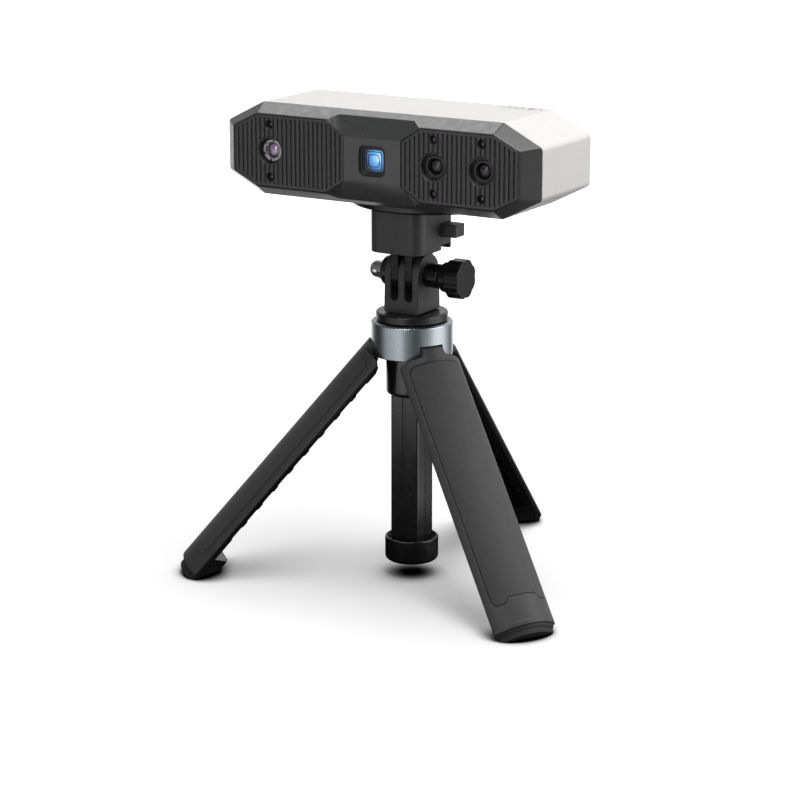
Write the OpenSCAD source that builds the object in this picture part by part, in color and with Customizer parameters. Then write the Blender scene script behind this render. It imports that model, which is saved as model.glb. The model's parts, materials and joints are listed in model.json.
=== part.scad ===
// Handheld 3D scanner on a folding mini tripod grip.
// Millimetres, +Z up, the ground is z = 0 and the scanner looks along -Y.
// The origin is on the ground, in the middle of the footprint box.

/* [Scanner head] */
// Width of the head
head_w = 141; // [136:1:146]
// Height of the head
head_h = 36.8; // [36:0.2:40]
// Depth of the head, front plane to back face
head_d = 47.7; // [46:0.1:52]
// Depth of the dark front bezel
bezel_d = 6.84; // [6:0.02:7.2]
// Wall thickness of the rear housing
shell_wall = 2.2; // [1.8:0.1:2.4]
// Distance of the head's front plane in front of the pole axis
head_front = 30.54; // [29:0.02:32]
// Distance between two ribs of the front grilles
rib_pitch = 2.05; // [1.8:0.05:2.6]

/* [Cameras and projector] */
// Position of the left camera
camera_left_x = -47.3; // [-48:0.1:-46]
// Position of the middle camera
camera_middle_x = 26.8; // [26:0.1:28]
// Position of the right camera
camera_right_x = 47.8; // [46.5:0.1:48.5]
// Radius of the opening in front of each camera
camera_hole_r = 5.7; // [5:0.1:6]
// Radius of the camera barrels
barrel_r = 4.35; // [4:0.05:4.6]
// Height of the flash lights above and below each camera
flash_z = 10.45; // [10.2:0.05:10.8]
// Side of the square projector window
window_w = 12; // [11:0.5:13]

/* [Adapter and clevis] */
// Width of the adapter block
adapter_w = 24.5; // [23.5:0.5:26]
// Depth of the adapter block
adapter_d = 26.2; // [24.2:0.2:26.2]
// Width of the three-finger clevis
clevis_w = 15.4; // [15:0.1:15.8]
// Width of a slot between two fingers
slot_w = 3.5; // [3.3:0.1:3.6]
// Radius of the clamp screw
screw_r = 2.5; // [2.4:0.05:2.6]
// Radius of the clamp knob
knob_r = 8; // [7.5:0.1:8.5]

/* [Tripod grip] */
// Outer radius of the hub ring and of the folded legs
grip_r = 16.44; // [16.2:0.02:16.8]
// Angle of an open leg from upright
open_angle = 40; // [34:1:41]
// Distance from the leg hinge to the end of the foot
leg_reach = 125.5; // [120:0.5:130]
// Side of the square pole
pole_w = 12.7; // [12.5:0.1:12.9]

/* [Hidden] */

$fn = 64;
gap = 0.05;                  // clearance between two pieces that sit in each other
slack = 0.1;                 // clearance round an inlay
far = 400;                   // larger than the whole object

// leg hinge and foot, in the folded leg's plane: radius from the pole, height from the hinge
hinge_r = 12.5;
sole_r = 9.5;
knuckle_r = 1.85;
pin_r = 1;
tab_w = 9.8;
leg_half = 57.5;
leg_wall = 1.8;
leg_inner_r = 11.4;
leg_top = 5.65;
leg_end = leg_reach - 2.3;
end_bevel = 2.7;
foot_r = grip_r - 1.6;
tip_r = 1.2;
floor_z = -leg_reach + 13;
floor_h = 3;
rib_h = 1.4;
grip_t = 1;
grip_half = 45;
grip_top = -8.8;
grip_end = -leg_reach + 13.7;
front_right = -30;
front_left = -150;
rear = 90;

// heights, from the ground up
hinge_z = leg_reach * cos(open_angle) + (hinge_r - sole_r) * sin(open_angle);
ring_z = hinge_z - 5.35;
ring_h = 13.85;
ring_wall = 1.2;
core_z = hinge_z - 4.6;
core_h = 11.4;
ring_top = ring_z + ring_h;
head_disc_h = 3.7;
clevis_z = ring_top + head_disc_h;
pivot_z = clevis_z + 15.1;
adapter_z = pivot_z + 10;
adapter_h = 16.7;
channel_h = 2.05;
plate_z = adapter_z + adapter_h;
plate_h = 4.2;
head_z = plate_z + plate_h + head_h / 2;
cap_z = 6;

// the rear leg reaches further from the pole than the two front legs do
rear_reach = hinge_r + (foot_r - hinge_r) * cos(open_angle) + leg_reach * sin(open_angle);
corner_r = hinge_r + (grip_r * cos(leg_half) - hinge_r) * cos(open_angle)
    + (leg_end - end_bevel) * sin(open_angle);
front_reach = corner_r * sin(30) + grip_r * sin(leg_half) * cos(30);
pole_y = -(rear_reach - front_reach) / 2;

// head, seen from the front, half sizes
half_w = head_w / 2;
half_h = head_h / 2;
end_z = 9.98;
top_x = half_w - 16.5;
front_y = -head_front;
seam_y = front_y + bezel_d;
back_y = front_y + head_d;
inner_back_y = back_y - shell_wall;
bevel_x = 6.5;
bevel_z = 4;
bezel_floor_y = front_y + 3.6;
panel_y = front_y + 2;
panel_face_y = front_y + 0.25;
groove_w = 0.64;
camera_xs = [camera_left_x, camera_middle_x, camera_right_x];
flash_r = 1.85;
bench_y = -20;
bench_t = 3;
bench_x = 57;
bench_z = 12.5;
bench_posts = [for (x = [-36, 14.5, 37.3], z = [-10, 10]) [x, z]];
housing_posts = [for (x = [-61, 61], z = [-7.2, 7.2]) [x, z]];
board_y = 6;
board_t = 1.6;
board_posts = [for (x = [-45, 45], z = [-8, 8]) [x, z]];
button_x = 41.8;
button_y = 11;
button_l = 17.6;
button_w = 5.2;
switch_z = half_h - 7.2;
switch_post_x = 10.9;
usb_x = 34;
light_x = 24;
lens_y = front_y + 2.4;
flat_x = 12.8;
flat_z = 9.15;

// adapter and its latch, heights above the adapter's underside
shoe_h = 5;
shoe_half = 8;
shoe_taper = 1.8;
latch_z = 5.6;
latch_h = 5.2;
latch_y0 = 1.5;
latch_y1 = 8.8;
latch_out = 6.9;
latch_in = 4;
latch_arm = 1.4;
latch_reach = 8.3;
latch_travel = 2;
latch_pocket = latch_reach + latch_travel + 0.3;
prong_r = 8.4;
clevis_r = 8.6;
slot_floor = -8.3;
finger_w = 2.75;
slot_inner = clevis_w / 2 - finger_w - slot_w;
cup_l = 4.2;
bolt_gap = 0.06;

// telescopic pole: square tubes, one in the other
tube_wall = 0.8;
bush_t = 0.55;
middle_w = pole_w - 2 * (tube_wall + bush_t + gap);
inner_w = middle_w - 2 * (tube_wall + bush_t + gap);
bush_h = 8;
tube_z = cap_z + 4;
tube_top = ring_top - 1.5;

function octagon(a, c, b, h) =
    [[a, -c], [a, c], [b, h], [-b, h], [-a, c], [-a, -c], [-b, -h], [b, -h]];

// an octagon whose sides have all moved inwards by w
function inset_octagon(a, c, b, h, w) =
    let (l = norm([a - b, h - c]),
         nx = (h - c) / l,
         nz = (a - b) / l,
         k = nx * a + nz * c - w)
    octagon(a - w, (k - nx * (a - w)) / nz, (k - nz * (h - w)) / nx, h - w);

head_outline = octagon(half_w, end_z, top_x, half_h);
head_inner = inset_octagon(half_w, end_z, top_x, half_h, shell_wall);
front_outline = octagon(half_w - bevel_x, end_z - 0.95, top_x - 1, half_h - bevel_z);
panel_outline = [[flat_x, -9], [flat_x, 9], [21.4, 14.35], [53, 14.35], [63.9, 9.1], [63.9, -9.1],
    [53, -14.35], [21.4, -14.35]];

module on_pole(z) translate([0, pole_y, z]) children();

module in_head() translate([0, pole_y, head_z]) children();

module at_pivot() translate([0, pole_y, pivot_z]) children();

// a leg's own frame is its folded state, with the hinge at height 0
module on_leg(direction)
    translate([0, pole_y, hinge_z]) rotate([0, 0, direction])
        translate([hinge_r, 0, 0]) rotate([0, -open_angle, 0]) translate([-hinge_r, 0, 0])
            children();

// an outline drawn in X and Z, from y0 back to y1
module slab(outline, y0, y1)
    translate([0, y1, 0]) rotate([90, 0, 0]) linear_extrude(y1 - y0) polygon(outline);

// a round bar along Y
module bar_y(r, y0, y1) translate([0, y0, 0]) rotate([-90, 0, 0]) cylinder(r = r, h = y1 - y0);

// a round bar along X
module bar_x(r, x0, x1) translate([x0, 0, 0]) rotate([0, 90, 0]) cylinder(r = r, h = x1 - x0);

module box(x0, x1, y0, y1, z0, z1) translate([x0, y0, z0]) cube([x1 - x0, y1 - y0, z1 - z0]);

// a pill, long along X, with its round ends drawn as arcs
module pill(length, width, h)
    linear_extrude(h) union() {
        square([length - width, width], center = true);
        for (s = [-1, 1]) translate([s * (length - width) / 2, 0]) circle(d = width);
    }

module round_square(w, r, h)
    linear_extrude(h) union() {
        square([w, w - 2 * r], center = true);
        square([w - 2 * r, w], center = true);
        for (x = [-1, 1], y = [-1, 1]) translate([x * (w / 2 - r), y * (w / 2 - r)]) circle(r = r);
    }

// the same, standing upright with its height along Y
module round_square_y(w, r, y0, y1)
    translate([0, y1, 0]) rotate([90, 0, 0]) round_square(w, r, y1 - y0);

// everything on the side of a plane that its normal points to
module beyond(point, normal)
    translate(point)
        rotate([0, acos(normal.z / norm(normal)), atan2(normal.y, normal.x)])
            translate([-far / 2, -far / 2, 0]) cube(far);

// part of a ring between two angles, from a half section
module sector(outline, a0, a1) rotate([0, 0, a0]) rotate_extrude(angle = a1 - a0) polygon(outline);

// ---- scanner head ----

module rear_housing()
    color("gainsboro") in_head() difference() {
        union() {
            difference() {
                slab(head_outline, seam_y, back_y);
                slab(head_inner, seam_y - 1, inner_back_y);
            }
            for (p = board_posts) translate([p.x, 0, p.y])
                bar_y(2.2, board_y + board_t, inner_back_y + 0.5);
            for (s = [-1, 1]) translate([button_x + s * switch_post_x, button_y, switch_z + 1])
                cylinder(r = 0.9, h = half_h - shell_wall / 2 - switch_z - 1);
        }
        for (p = board_posts) translate([p.x, 0, p.y]) bar_y(1.05, board_y, board_y + 6);
        for (p = housing_posts) translate([p.x, 0, p.y]) {
            bar_y(1.3, inner_back_y - 1, back_y + 1);
            bar_y(2.4, back_y - 1.2, back_y + 1);
        }
        translate([usb_x, inner_back_y - 1, 0]) rotate([-90, 0, 0]) pill(9.2, 3.4, shell_wall + 2);
        translate([light_x, 0, 0]) bar_y(1 + gap, inner_back_y - 1, back_y + 1);
        translate([button_x, button_y, half_h - shell_wall - 1])
            pill(button_l + 0.8, button_w + 0.8, shell_wall + 2);
        translate([0, 0, -half_h - 1]) cylinder(r = 5, h = shell_wall + 2);
    }

// the two sloping cuts above and below the projector, s = 1 above and -1 below
module brow_cut(s) {
    a = [flat_x, front_y, s * flat_z];
    b = [21.4, front_y, s * 14.39];
    c = [16.7, front_y + 3.44, s * 16.4];
    a2 = [-a.x, a.y, a.z];
    side = s * cross(b - a, c - a);
    brow = s * cross(c - a, a2 - a);
    intersection() {
        beyond(a, brow.y < 0 ? brow : -brow);
        beyond(a, side.x < 0 ? side : -side);
        beyond(a2, side.x < 0 ? [-side.x, side.y, side.z] : [side.x, -side.y, -side.z]);
        box(-30, 30, front_y - 5, seam_y, s > 0 ? 0 : -30, s > 0 ? 30 : 0);
    }
}

module bezel_holes() {
    for (x = camera_xs) translate([x, 0, 0]) {
        bar_y(camera_hole_r, front_y - 1, seam_y + 3);
        for (z = [-flash_z, flash_z]) translate([0, 0, z])
            bar_y(flash_r, front_y - 1, seam_y + 3);
    }
    round_square_y(window_w, 2.6, front_y - 1, seam_y + 3);
}

module front_bezel()
    color("dimgray") in_head() difference() {
        union() {
            difference() {
                hull() {
                    slab(head_outline, seam_y - 0.01, seam_y);
                    slab(front_outline, front_y, front_y + 0.01);
                }
                slab(inset_octagon(half_w - 3.6, 9.4, top_x - 0.6, half_h - 2.2, shell_wall),
                    bezel_floor_y, seam_y + 1);
            }
            difference() {
                slab(inset_octagon(half_w, end_z, top_x, half_h, shell_wall + slack),
                    seam_y - 0.01, seam_y + 2);
                slab(inset_octagon(half_w, end_z, top_x, half_h, shell_wall + 1.5),
                    seam_y - 1, seam_y + 3);
            }
            for (p = bench_posts) translate([p.x, 0, p.y]) bar_y(2.1, bezel_floor_y - 0.5, bench_y);
            for (p = housing_posts) translate([p.x, 0, p.y])
                bar_y(2.4, bezel_floor_y - 0.5, inner_back_y);
        }
        for (s = [-1, 1]) brow_cut(s);
        slab(panel_outline, front_y - 1, panel_y);
        mirror([1, 0, 0]) slab(panel_outline, front_y - 1, panel_y);
        bezel_holes();
        for (p = bench_posts) translate([p.x, 0, p.y]) bar_y(0.85, bench_y - 4, bench_y + 1);
        for (p = housing_posts) translate([p.x, 0, p.y])
            bar_y(1.1, inner_back_y - 10, inner_back_y + 1);
    }

function grille_inlay() =
    [for (p = panel_outline) [p.x + (p.x < 40 ? slack : -slack), p.y - sign(p.y) * slack]];

function groove_x(i) = flat_x + 1 + (i + 0.45) * rib_pitch;

// half the length of a groove, so that an even border stays round the panel
function groove_half(x) = min(14.35, 9 + (x - flat_x) * 0.62, 9.1 + (63.9 - x) * 0.48) - 1.1;

// an inlaid panel with upright grooves, open round its cameras
module grille(cameras)
    difference() {
        slab(grille_inlay(), panel_face_y, panel_y);
        for (i = [0 : floor((63 - flat_x) / rib_pitch) - 1]) translate([groove_x(i), 0, 0])
            box(-groove_w / 2, groove_w / 2, panel_face_y - 1, panel_face_y + 0.8,
                -groove_half(groove_x(i)), groove_half(groove_x(i)));
        for (x = cameras) translate([x, 0, 0]) {
            bar_y(camera_hole_r, front_y - 1, panel_y + 1);
            for (z = [-flash_z, flash_z]) translate([0, 0, z])
                bar_y(flash_r, front_y - 1, panel_y + 1);
        }
    }

module left_grille() color([0.2, 0.2, 0.21]) in_head() mirror([1, 0, 0]) grille([-camera_left_x]);

module right_grille() color([0.2, 0.2, 0.21]) in_head() grille([camera_middle_x, camera_right_x]);

module projector_frame()
    color([0.12, 0.13, 0.15]) in_head() difference() {
        round_square_y(window_w - 2 * gap, 2.6, front_y + 0.8, bezel_floor_y + 0.4);
        round_square_y(window_w - 2.6, 1.8, front_y, front_y + 1.9);
        round_square_y(window_w - 4.4, 1.4, front_y, bezel_floor_y + 1);
    }

module projector_window()
    color([0.35, 0.6, 0.9]) in_head()
        round_square_y(window_w - 2.7, 1.75, front_y + 1.2, front_y + 1.9);

module projector_module()
    color([0.1, 0.1, 0.11]) in_head() difference() {
        union() {
            round_square_y(14, 1.5, bezel_floor_y + 0.4, bench_y);
            round_square_y(11.8, 1.5, bench_y - 0.5, -12);
        }
        bar_y(3.3, front_y, bench_y - 1);
    }

module projector_lens()
    color([0.4, 0.65, 0.95]) in_head() translate([0, bench_y - 1, 0]) rotate([90, 0, 0])
        rotate_extrude() polygon([[0, 0], [3.25, 0], [3.25, 2.2], [2.4, 3.1], [1.3, 3.6], [0, 3.75]]);

// threaded barrel with a funnel in front of its lens
module camera_barrel(x)
    in_head() translate([x, lens_y, 0]) rotate([-90, 0, 0]) rotate_extrude() polygon([
        [3.2, 0], [barrel_r, 0], [barrel_r, bench_y + bench_t - lens_y],
        [1.6, bench_y + bench_t - lens_y], [1.6, 5], [2.55, 5], [2.55, 1.4]]);

module left_camera_barrel() color([0.55, 0.55, 0.54]) camera_barrel(camera_left_x);
module middle_camera_barrel() color([0.12, 0.12, 0.12]) camera_barrel(camera_middle_x);
module right_camera_barrel() color([0.12, 0.12, 0.12]) camera_barrel(camera_right_x);

// plano-convex front lens, its dome a short run of rings
module camera_lens(x)
    in_head() translate([x, lens_y + 5, 0]) rotate([90, 0, 0]) rotate_extrude() polygon(concat(
        [[0, 0], [2.5, 0]],
        [for (a = [0 : 15 : 90]) [2.5 * cos(a), 3.2 + 1.2 * sin(a)]]));

module left_camera_lens() color([0.75, 0.65, 0.8]) camera_lens(camera_left_x);
module middle_camera_lens() color([0.2, 0.08, 0.2]) camera_lens(camera_middle_x);
module right_camera_lens() color([0.2, 0.08, 0.2]) camera_lens(camera_right_x);

module camera_boards()
    color("darkgreen") in_head() for (x = camera_xs)
        box(x - 6, x + 6, bench_y + bench_t, bench_y + bench_t + 1.2, -6.5, 6.5);

module flash_lights()
    color([0.15, 0.1, 0.12]) in_head() for (x = camera_xs, z = [-flash_z, flash_z])
        translate([x, bezel_floor_y, z]) rotate([90, 0, 0]) rotate_extrude() polygon(concat(
            [[0, 0], [1.6, 0]],
            [for (a = [0 : 15 : 90]) [1.6 * cos(a), 0.9 + 1.3 * sin(a)]]));

module flash_boards()
    color("darkgreen") in_head() for (x = camera_xs, z = [-flash_z, flash_z])
        box(x - 2.5, x + 2.5, bezel_floor_y, bezel_floor_y + 0.8, z - 2.5, z + 2.5);

module optical_bench()
    color("silver") in_head() difference() {
        box(-bench_x, bench_x, bench_y, bench_y + bench_t, -bench_z, bench_z);
        for (x = camera_xs) translate([x, 0, 0]) bar_y(barrel_r + gap, bench_y - 1, bench_y + bench_t + 1);
        round_square_y(12, 1.5, bench_y - 1, bench_y + bench_t + 1);
        for (p = bench_posts) translate([p.x, 0, p.y]) bar_y(1.1, bench_y - 1, bench_y + bench_t + 1);
    }

// a pan-head screw that points towards -Y, its head's underside at y
module machine_screw(y, r, head_r, length)
    difference() {
        union() {
            bar_y(r, y - length, y);
            bar_y(head_r, y, y + head_r * 0.55);
        }
        for (a = [0, 90]) rotate([0, a, 0])
            box(-head_r * 0.55, head_r * 0.55, y + head_r * 0.3, y + head_r, -0.2, 0.2);
    }

module bench_screws()
    color("dimgray") in_head() for (p = bench_posts) translate([p.x, 0, p.y])
        machine_screw(bench_y + bench_t, 0.8, 1.9, 6);

module main_board()
    color("darkgreen") in_head() difference() {
        box(-52, 52, board_y, board_y + board_t, -11, 11);
        for (p = board_posts) translate([p.x, 0, p.y]) bar_y(1.1, board_y - 1, board_y + board_t + 1);
    }

module board_screws()
    color("dimgray") in_head() for (p = board_posts) translate([p.x, 0, p.y])
        rotate([0, 0, 180]) machine_screw(-board_y, 1, 1.9, 5);

module heat_sink()
    color("silver") in_head() union() {
        box(-30, 10, board_y - 2, board_y, -11, 11);
        for (i = [0 : 9]) box(-30 + i * 4.3, -28.7 + i * 4.3, board_y - 9, board_y - 1, -11, 11);
    }

module usb_socket()
    color("silver") in_head() translate([usb_x, board_y + board_t, 0]) rotate([-90, 0, 0])
        difference() {
            pill(9, 3.2, back_y - board_y - board_t - 0.3);
            translate([0, 0, 2.8]) difference() {
                pill(8.4, 2.6, 20);
                translate([-3.3, -0.35, -1]) cube([6.6, 0.7, 6]);
            }
        }

module status_light()
    color([0.6, 0.85, 0.7]) in_head() translate([light_x, 0, 0]) bar_y(1, board_y + board_t, back_y);

module scan_button()
    color("lightgray") in_head() translate([button_x, button_y, 0]) union() {
        translate([0, 0, half_h - shell_wall - 0.5]) pill(button_l, button_w, shell_wall + 0.5);
        translate([0, 0, half_h - shell_wall - 0.9]) pill(button_l + 1.8, button_w + 1.6, 0.8);
    }

// tactile switch on its own small board, under the button
module button_switch()
    color([0.1, 0.1, 0.1]) in_head() translate([button_x, button_y, switch_z]) union() {
        translate([-12, -2.6, 0]) cube([24, 5.2, 1]);
        translate([-2, -2, 0.9]) cube([4, 4, 1.7]);
        translate([0, 0, 2.5]) cylinder(r = 0.8, h = 0.9);
    }

module housing_screws()
    color("dimgray") in_head() for (p = housing_posts) translate([p.x, 0, p.y])
        machine_screw(back_y - 1.2, 1, 2.1, 8);

// lens-shaped foot of the head, between two large arcs
module base_plate()
    color([0.17, 0.17, 0.18]) on_pole(plate_z) difference() {
        intersection() {
            translate([0, 16.6, 0]) cylinder(r = 33.2, h = plate_h, $fn = 96);
            translate([0, -16.6, 0]) cylinder(r = 33.2, h = plate_h, $fn = 96);
            box(-27, 27, -20, 20, 0, plate_h);
        }
        translate([0, 0, -1]) cylinder(r = 4.5 + gap, h = plate_h + 2);
    }

module thread_insert()
    color("goldenrod") on_pole(plate_z) difference() {
        cylinder(r = 4.5, h = plate_h + 4);
        translate([0, 0, -1]) cylinder(r = 3.175, h = plate_h + 6);
    }

// ---- adapter ----

// outline of the dovetail, widest at the bottom
function dovetail(clear) = [
    [-shoe_half - clear, -2 * clear], [shoe_half + clear, -2 * clear],
    [shoe_half - shoe_taper + clear, shoe_h + clear / 2],
    [-shoe_half + shoe_taper - clear, shoe_h + clear / 2]];

// dovetail shoe under the head, caught by the latch
module quick_shoe()
    color([0.22, 0.22, 0.23]) on_pole(plate_z - shoe_h) difference() {
        slab(dovetail(0), -10, 10);
        translate([0, 0, -1]) cylinder(r = 3.3, h = shoe_h + 2);
        translate([0, 0, -1]) cylinder(r = 5.2, h = 3);
        box(-shoe_half - 1, -latch_reach + 1.8, latch_y0 - 0.3, latch_y1 + 0.3, -1, 1.4);
    }

module shoe_screw()
    color("silver") on_pole(plate_z - shoe_h) difference() {
        union() {
            cylinder(r = 5, h = 2);
            translate([0, 0, 1]) cylinder(r = 3.1, h = shoe_h + plate_h + 1);
        }
        box(-6, 6, -0.6, 0.6, -1, 0.9);
    }

module rounded_block(w, d, r, h)
    linear_extrude(h) union() {
        square([w, d - 2 * r], center = true);
        square([w - 2 * r, d], center = true);
        for (x = [-1, 1], y = [-1, 1]) translate([x * (w / 2 - r), y * (d / 2 - r)]) circle(r = r);
    }

module prong(x0, x1) {
    bar_x(prong_r, x0, x1);
    box(x0, x1, -prong_r, prong_r, 0, adapter_z - pivot_z + channel_h + 0.5);
}

module adapter_block() {
    x0 = slot_inner + slack;
    x1 = slot_inner + slot_w - slack;
    color([0.23, 0.23, 0.24]) difference() {
        union() {
            on_pole(adapter_z) difference() {
                translate([0, -1.9, 0]) {
                    rounded_block(adapter_w, adapter_d, 5.5, adapter_h);
                    translate([0, adapter_d / 4, 0]) rounded_block(adapter_w, adapter_d / 2, 2, adapter_h);
                }
                box(-adapter_w, adapter_w, 2, 8.9, -1, channel_h);
            }
            at_pivot() prong(x0, x1);
            at_pivot() prong(-x1, -x0);
        }
        at_pivot() bar_x(screw_r + bolt_gap, -far / 4, far / 4);
        on_pole(plate_z - shoe_h) slab(dovetail(slack), -10 - slack, far / 4);
        on_pole(adapter_z + latch_z) {
            box(-latch_pocket, adapter_w, latch_y0 - slack, latch_y1 + slack, -slack, latch_h + slack);
            box(-latch_pocket, shoe_half, latch_y0 - slack, latch_y1 + slack, 0, latch_h + 0.8);
            box(-latch_pocket, -shoe_half + 2, latch_y0 - slack, latch_y1 + slack, latch_h, latch_h + 2.2);
        }
    }
}

// lever with two arms round its spring; their tips catch the notch in the side of the shoe
module latch_lever()
    color([0.2, 0.2, 0.21]) on_pole(adapter_z + latch_z) union() {
        box(-latch_in, adapter_w / 2 + latch_out, latch_y0, latch_y1, 0, latch_h);
        for (y = [latch_y0, latch_y1 - latch_arm]) {
            box(-latch_reach, -latch_in + 0.1, y, y + latch_arm, 0, latch_h);
            box(-latch_reach, -latch_reach + 1.5, y, y + latch_arm, latch_h - 0.1, latch_h + 2);
        }
    }

// compression spring behind the lever, drawn as closed coils along X
module latch_spring()
    color("silver") on_pole(adapter_z + latch_z)
        translate([-latch_pocket + 0.3, (latch_y0 + latch_y1) / 2, latch_h / 2])
            for (i = [0 : 4]) translate([i * (latch_pocket - latch_in - 0.6) / 4, 0, 0])
                rotate([0, 90, 0]) rotate_extrude($fn = 24) translate([1.7, 0]) circle(r = 0.25, $fn = 13);

// ---- clevis and clamp ----

module clevis()
    color([0.23, 0.23, 0.24]) at_pivot() difference() {
        union() {
            bar_x(clevis_r, -clevis_w / 2, clevis_w / 2);
            box(-clevis_w / 2, clevis_w / 2, -clevis_r, clevis_r, clevis_z - pivot_z, 0);
        }
        for (s = [-1, 1]) translate([s * (slot_inner + slot_w / 2), 0, 0]) {
            box(-slot_w / 2, slot_w / 2, -10, 10, slot_floor, 10);
            translate([0, 0, slot_floor]) bar_y(slot_w / 2, -10, 10);
        }
        bar_x(screw_r + bolt_gap, -10, 10);
    }

// round foot of the clevis, on top of the pole
module pole_head()
    color([0.15, 0.15, 0.16]) on_pole(ring_top) union() {
        translate([0, 0, 0.1]) rotate_extrude($fn = 96) polygon([[0, 0], [14.1, 0], [14.5, 0.4],
            [14.5, head_disc_h - 0.6], [14.0, head_disc_h - 0.1], [0, head_disc_h - 0.1]]);
    }

module clamp_screw()
    color("silver") at_pivot() union() {
        bar_x(screw_r, -clevis_w / 2 - cup_l - 2.8, 14);
        bar_x(3.4, 13, 16);
    }

module clamp_knob()
    color([0.08, 0.08, 0.08]) at_pivot() difference() {
        union() {
            bar_x(4.9, clevis_w / 2 + 0.15, 14);
            bar_x(4.3, 14, 15);
            bar_x(6, 15, 18);
            difference() {
                bar_x(knob_r, 18, 24.8);
                for (a = [0 : 45 : 315]) rotate([a, 0, 0]) translate([0, 0, knob_r + 2.5])
                    bar_x(3.1, 17, 26);
            }
        }
        bar_x(screw_r + gap, 0, 14);
        bar_x(3.4 + gap, 12.95, 16 + gap);
    }

module nut_cup()
    color([0.1, 0.1, 0.1]) at_pivot() difference() {
        bar_x(6.1, -clevis_w / 2 - cup_l, -clevis_w / 2);
        bar_x(screw_r + bolt_gap, -20, 0);
    }

module acorn_nut()
    color("silver") at_pivot() translate([-clevis_w / 2 - cup_l, 0, 0]) rotate([0, -90, 0]) difference() {
        union() {
            cylinder(r = 4, h = 2.6, $fn = 6);
            rotate_extrude() polygon(concat([[0, 0], [3.4, 0]],
                [for (a = [0 : 15 : 90]) [3.4 * cos(a), 3.6 + 3.4 * sin(a)]]));
        }
        translate([0, 0, -1]) cylinder(r = screw_r + gap, h = 4.2);
    }

// ---- hub and pole ----

module hub_ring()
    color("slategray") on_pole(ring_z) difference() {
        rotate_extrude($fn = 96) polygon([[grip_r - ring_wall, 0], [grip_r, 0], [grip_r, ring_h - 0.6],
            [grip_r - 0.6, ring_h], [11, ring_h], [11, ring_h - 1.4], [grip_r - ring_wall, ring_h - 1.4]]);
        for (a = [front_left, front_right, rear]) rotate([0, 0, a])
            box(grip_r - 4, grip_r + 4, -tab_w / 2 - 0.4, tab_w / 2 + 0.4, -1, hinge_z - ring_z + 0.8);
    }

module hub_core()
    color([0.12, 0.12, 0.12]) on_pole(core_z) difference() {
        cylinder(r = grip_r - ring_wall - 0.02, h = ring_z + ring_h - 1.4 - core_z, $fn = 96);
        translate([0, 0, -1]) linear_extrude(core_h + 4) square(pole_w, center = true);
        for (a = [front_left, front_right, rear]) rotate([0, 0, a]) {
            box(9.6, grip_r + 4, -tab_w / 2 - 0.2, tab_w / 2 + 0.2, -1, hinge_z - core_z + 3.2);
            translate([hinge_r, 0, hinge_z - core_z]) rotate([90, 0, 0]) translate([0, 0, -7])
                cylinder(r = pin_r + 0.02, h = 14);
        }
    }

module hinge_pins()
    color("silver") on_pole(hinge_z) for (a = [front_left, front_right, rear]) rotate([0, 0, a])
        translate([hinge_r, 0, 0]) rotate([90, 0, 0]) translate([0, 0, -6.9])
            cylinder(r = pin_r, h = 13.8);

// square tube with a shallow groove down the middle of each side
module square_tube(outer, inner, h, groove)
    difference() {
        round_square(outer, 0.9, h);
        translate([0, 0, -1]) linear_extrude(h + 2) square(inner, center = true);
        for (a = [0 : 90 : 270]) rotate([0, 0, a])
            box(outer / 2 - groove, outer, -0.75, 0.75, -1, h + 1);
    }

module pole_barrel()
    color([0.07, 0.07, 0.07]) on_pole(tube_z)
        square_tube(pole_w, pole_w - 2 * tube_wall, tube_top - tube_z, 0.3);

module barrel_collar()
    color([0.06, 0.06, 0.06]) on_pole(core_z) mirror([0, 0, 1]) difference() {
        rotate_extrude($fn = 96) polygon([[0, 0], [10.5, 0], [10.3, 16], [9, 17.4], [0, 17.4]]);
        translate([0, 0, -1]) linear_extrude(20) square(pole_w + 2 * gap, center = true);
    }

module barrel_cap()
    color([0.06, 0.06, 0.06]) on_pole(cap_z) difference() {
        rotate_extrude($fn = 96) polygon([[0, 0], [9.6, 0], [10.86, 1.2], [10.86, 9.4], [10.3, 10],
            [0, 10]]);
        translate([0, 0, 4]) linear_extrude(10) square(pole_w + 2 * gap, center = true);
    }

module pole_middle()
    color("silver") on_pole(tube_z + 1)
        square_tube(middle_w, middle_w - 2 * tube_wall, tube_top - tube_z - 1.2, 0.2);

module pole_inner()
    color("silver") on_pole(tube_z + 2)
        square_tube(inner_w, inner_w - 2 * tube_wall, ring_top + 0.1 - tube_z - 2, 0.2);

// square bush that guides the foot of a section in the tube round it
module slide_bush(section_w)
    difference() {
        round_square(section_w + 2 * bush_t, 1, bush_h);
        translate([0, 0, -1]) linear_extrude(bush_h + 2) square(section_w, center = true);
    }

module middle_bush() color("white") on_pole(tube_z + 2) slide_bush(middle_w);

module inner_bush() color("white") on_pole(tube_z + 3) slide_bush(inner_w);

// ---- legs ----

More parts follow.
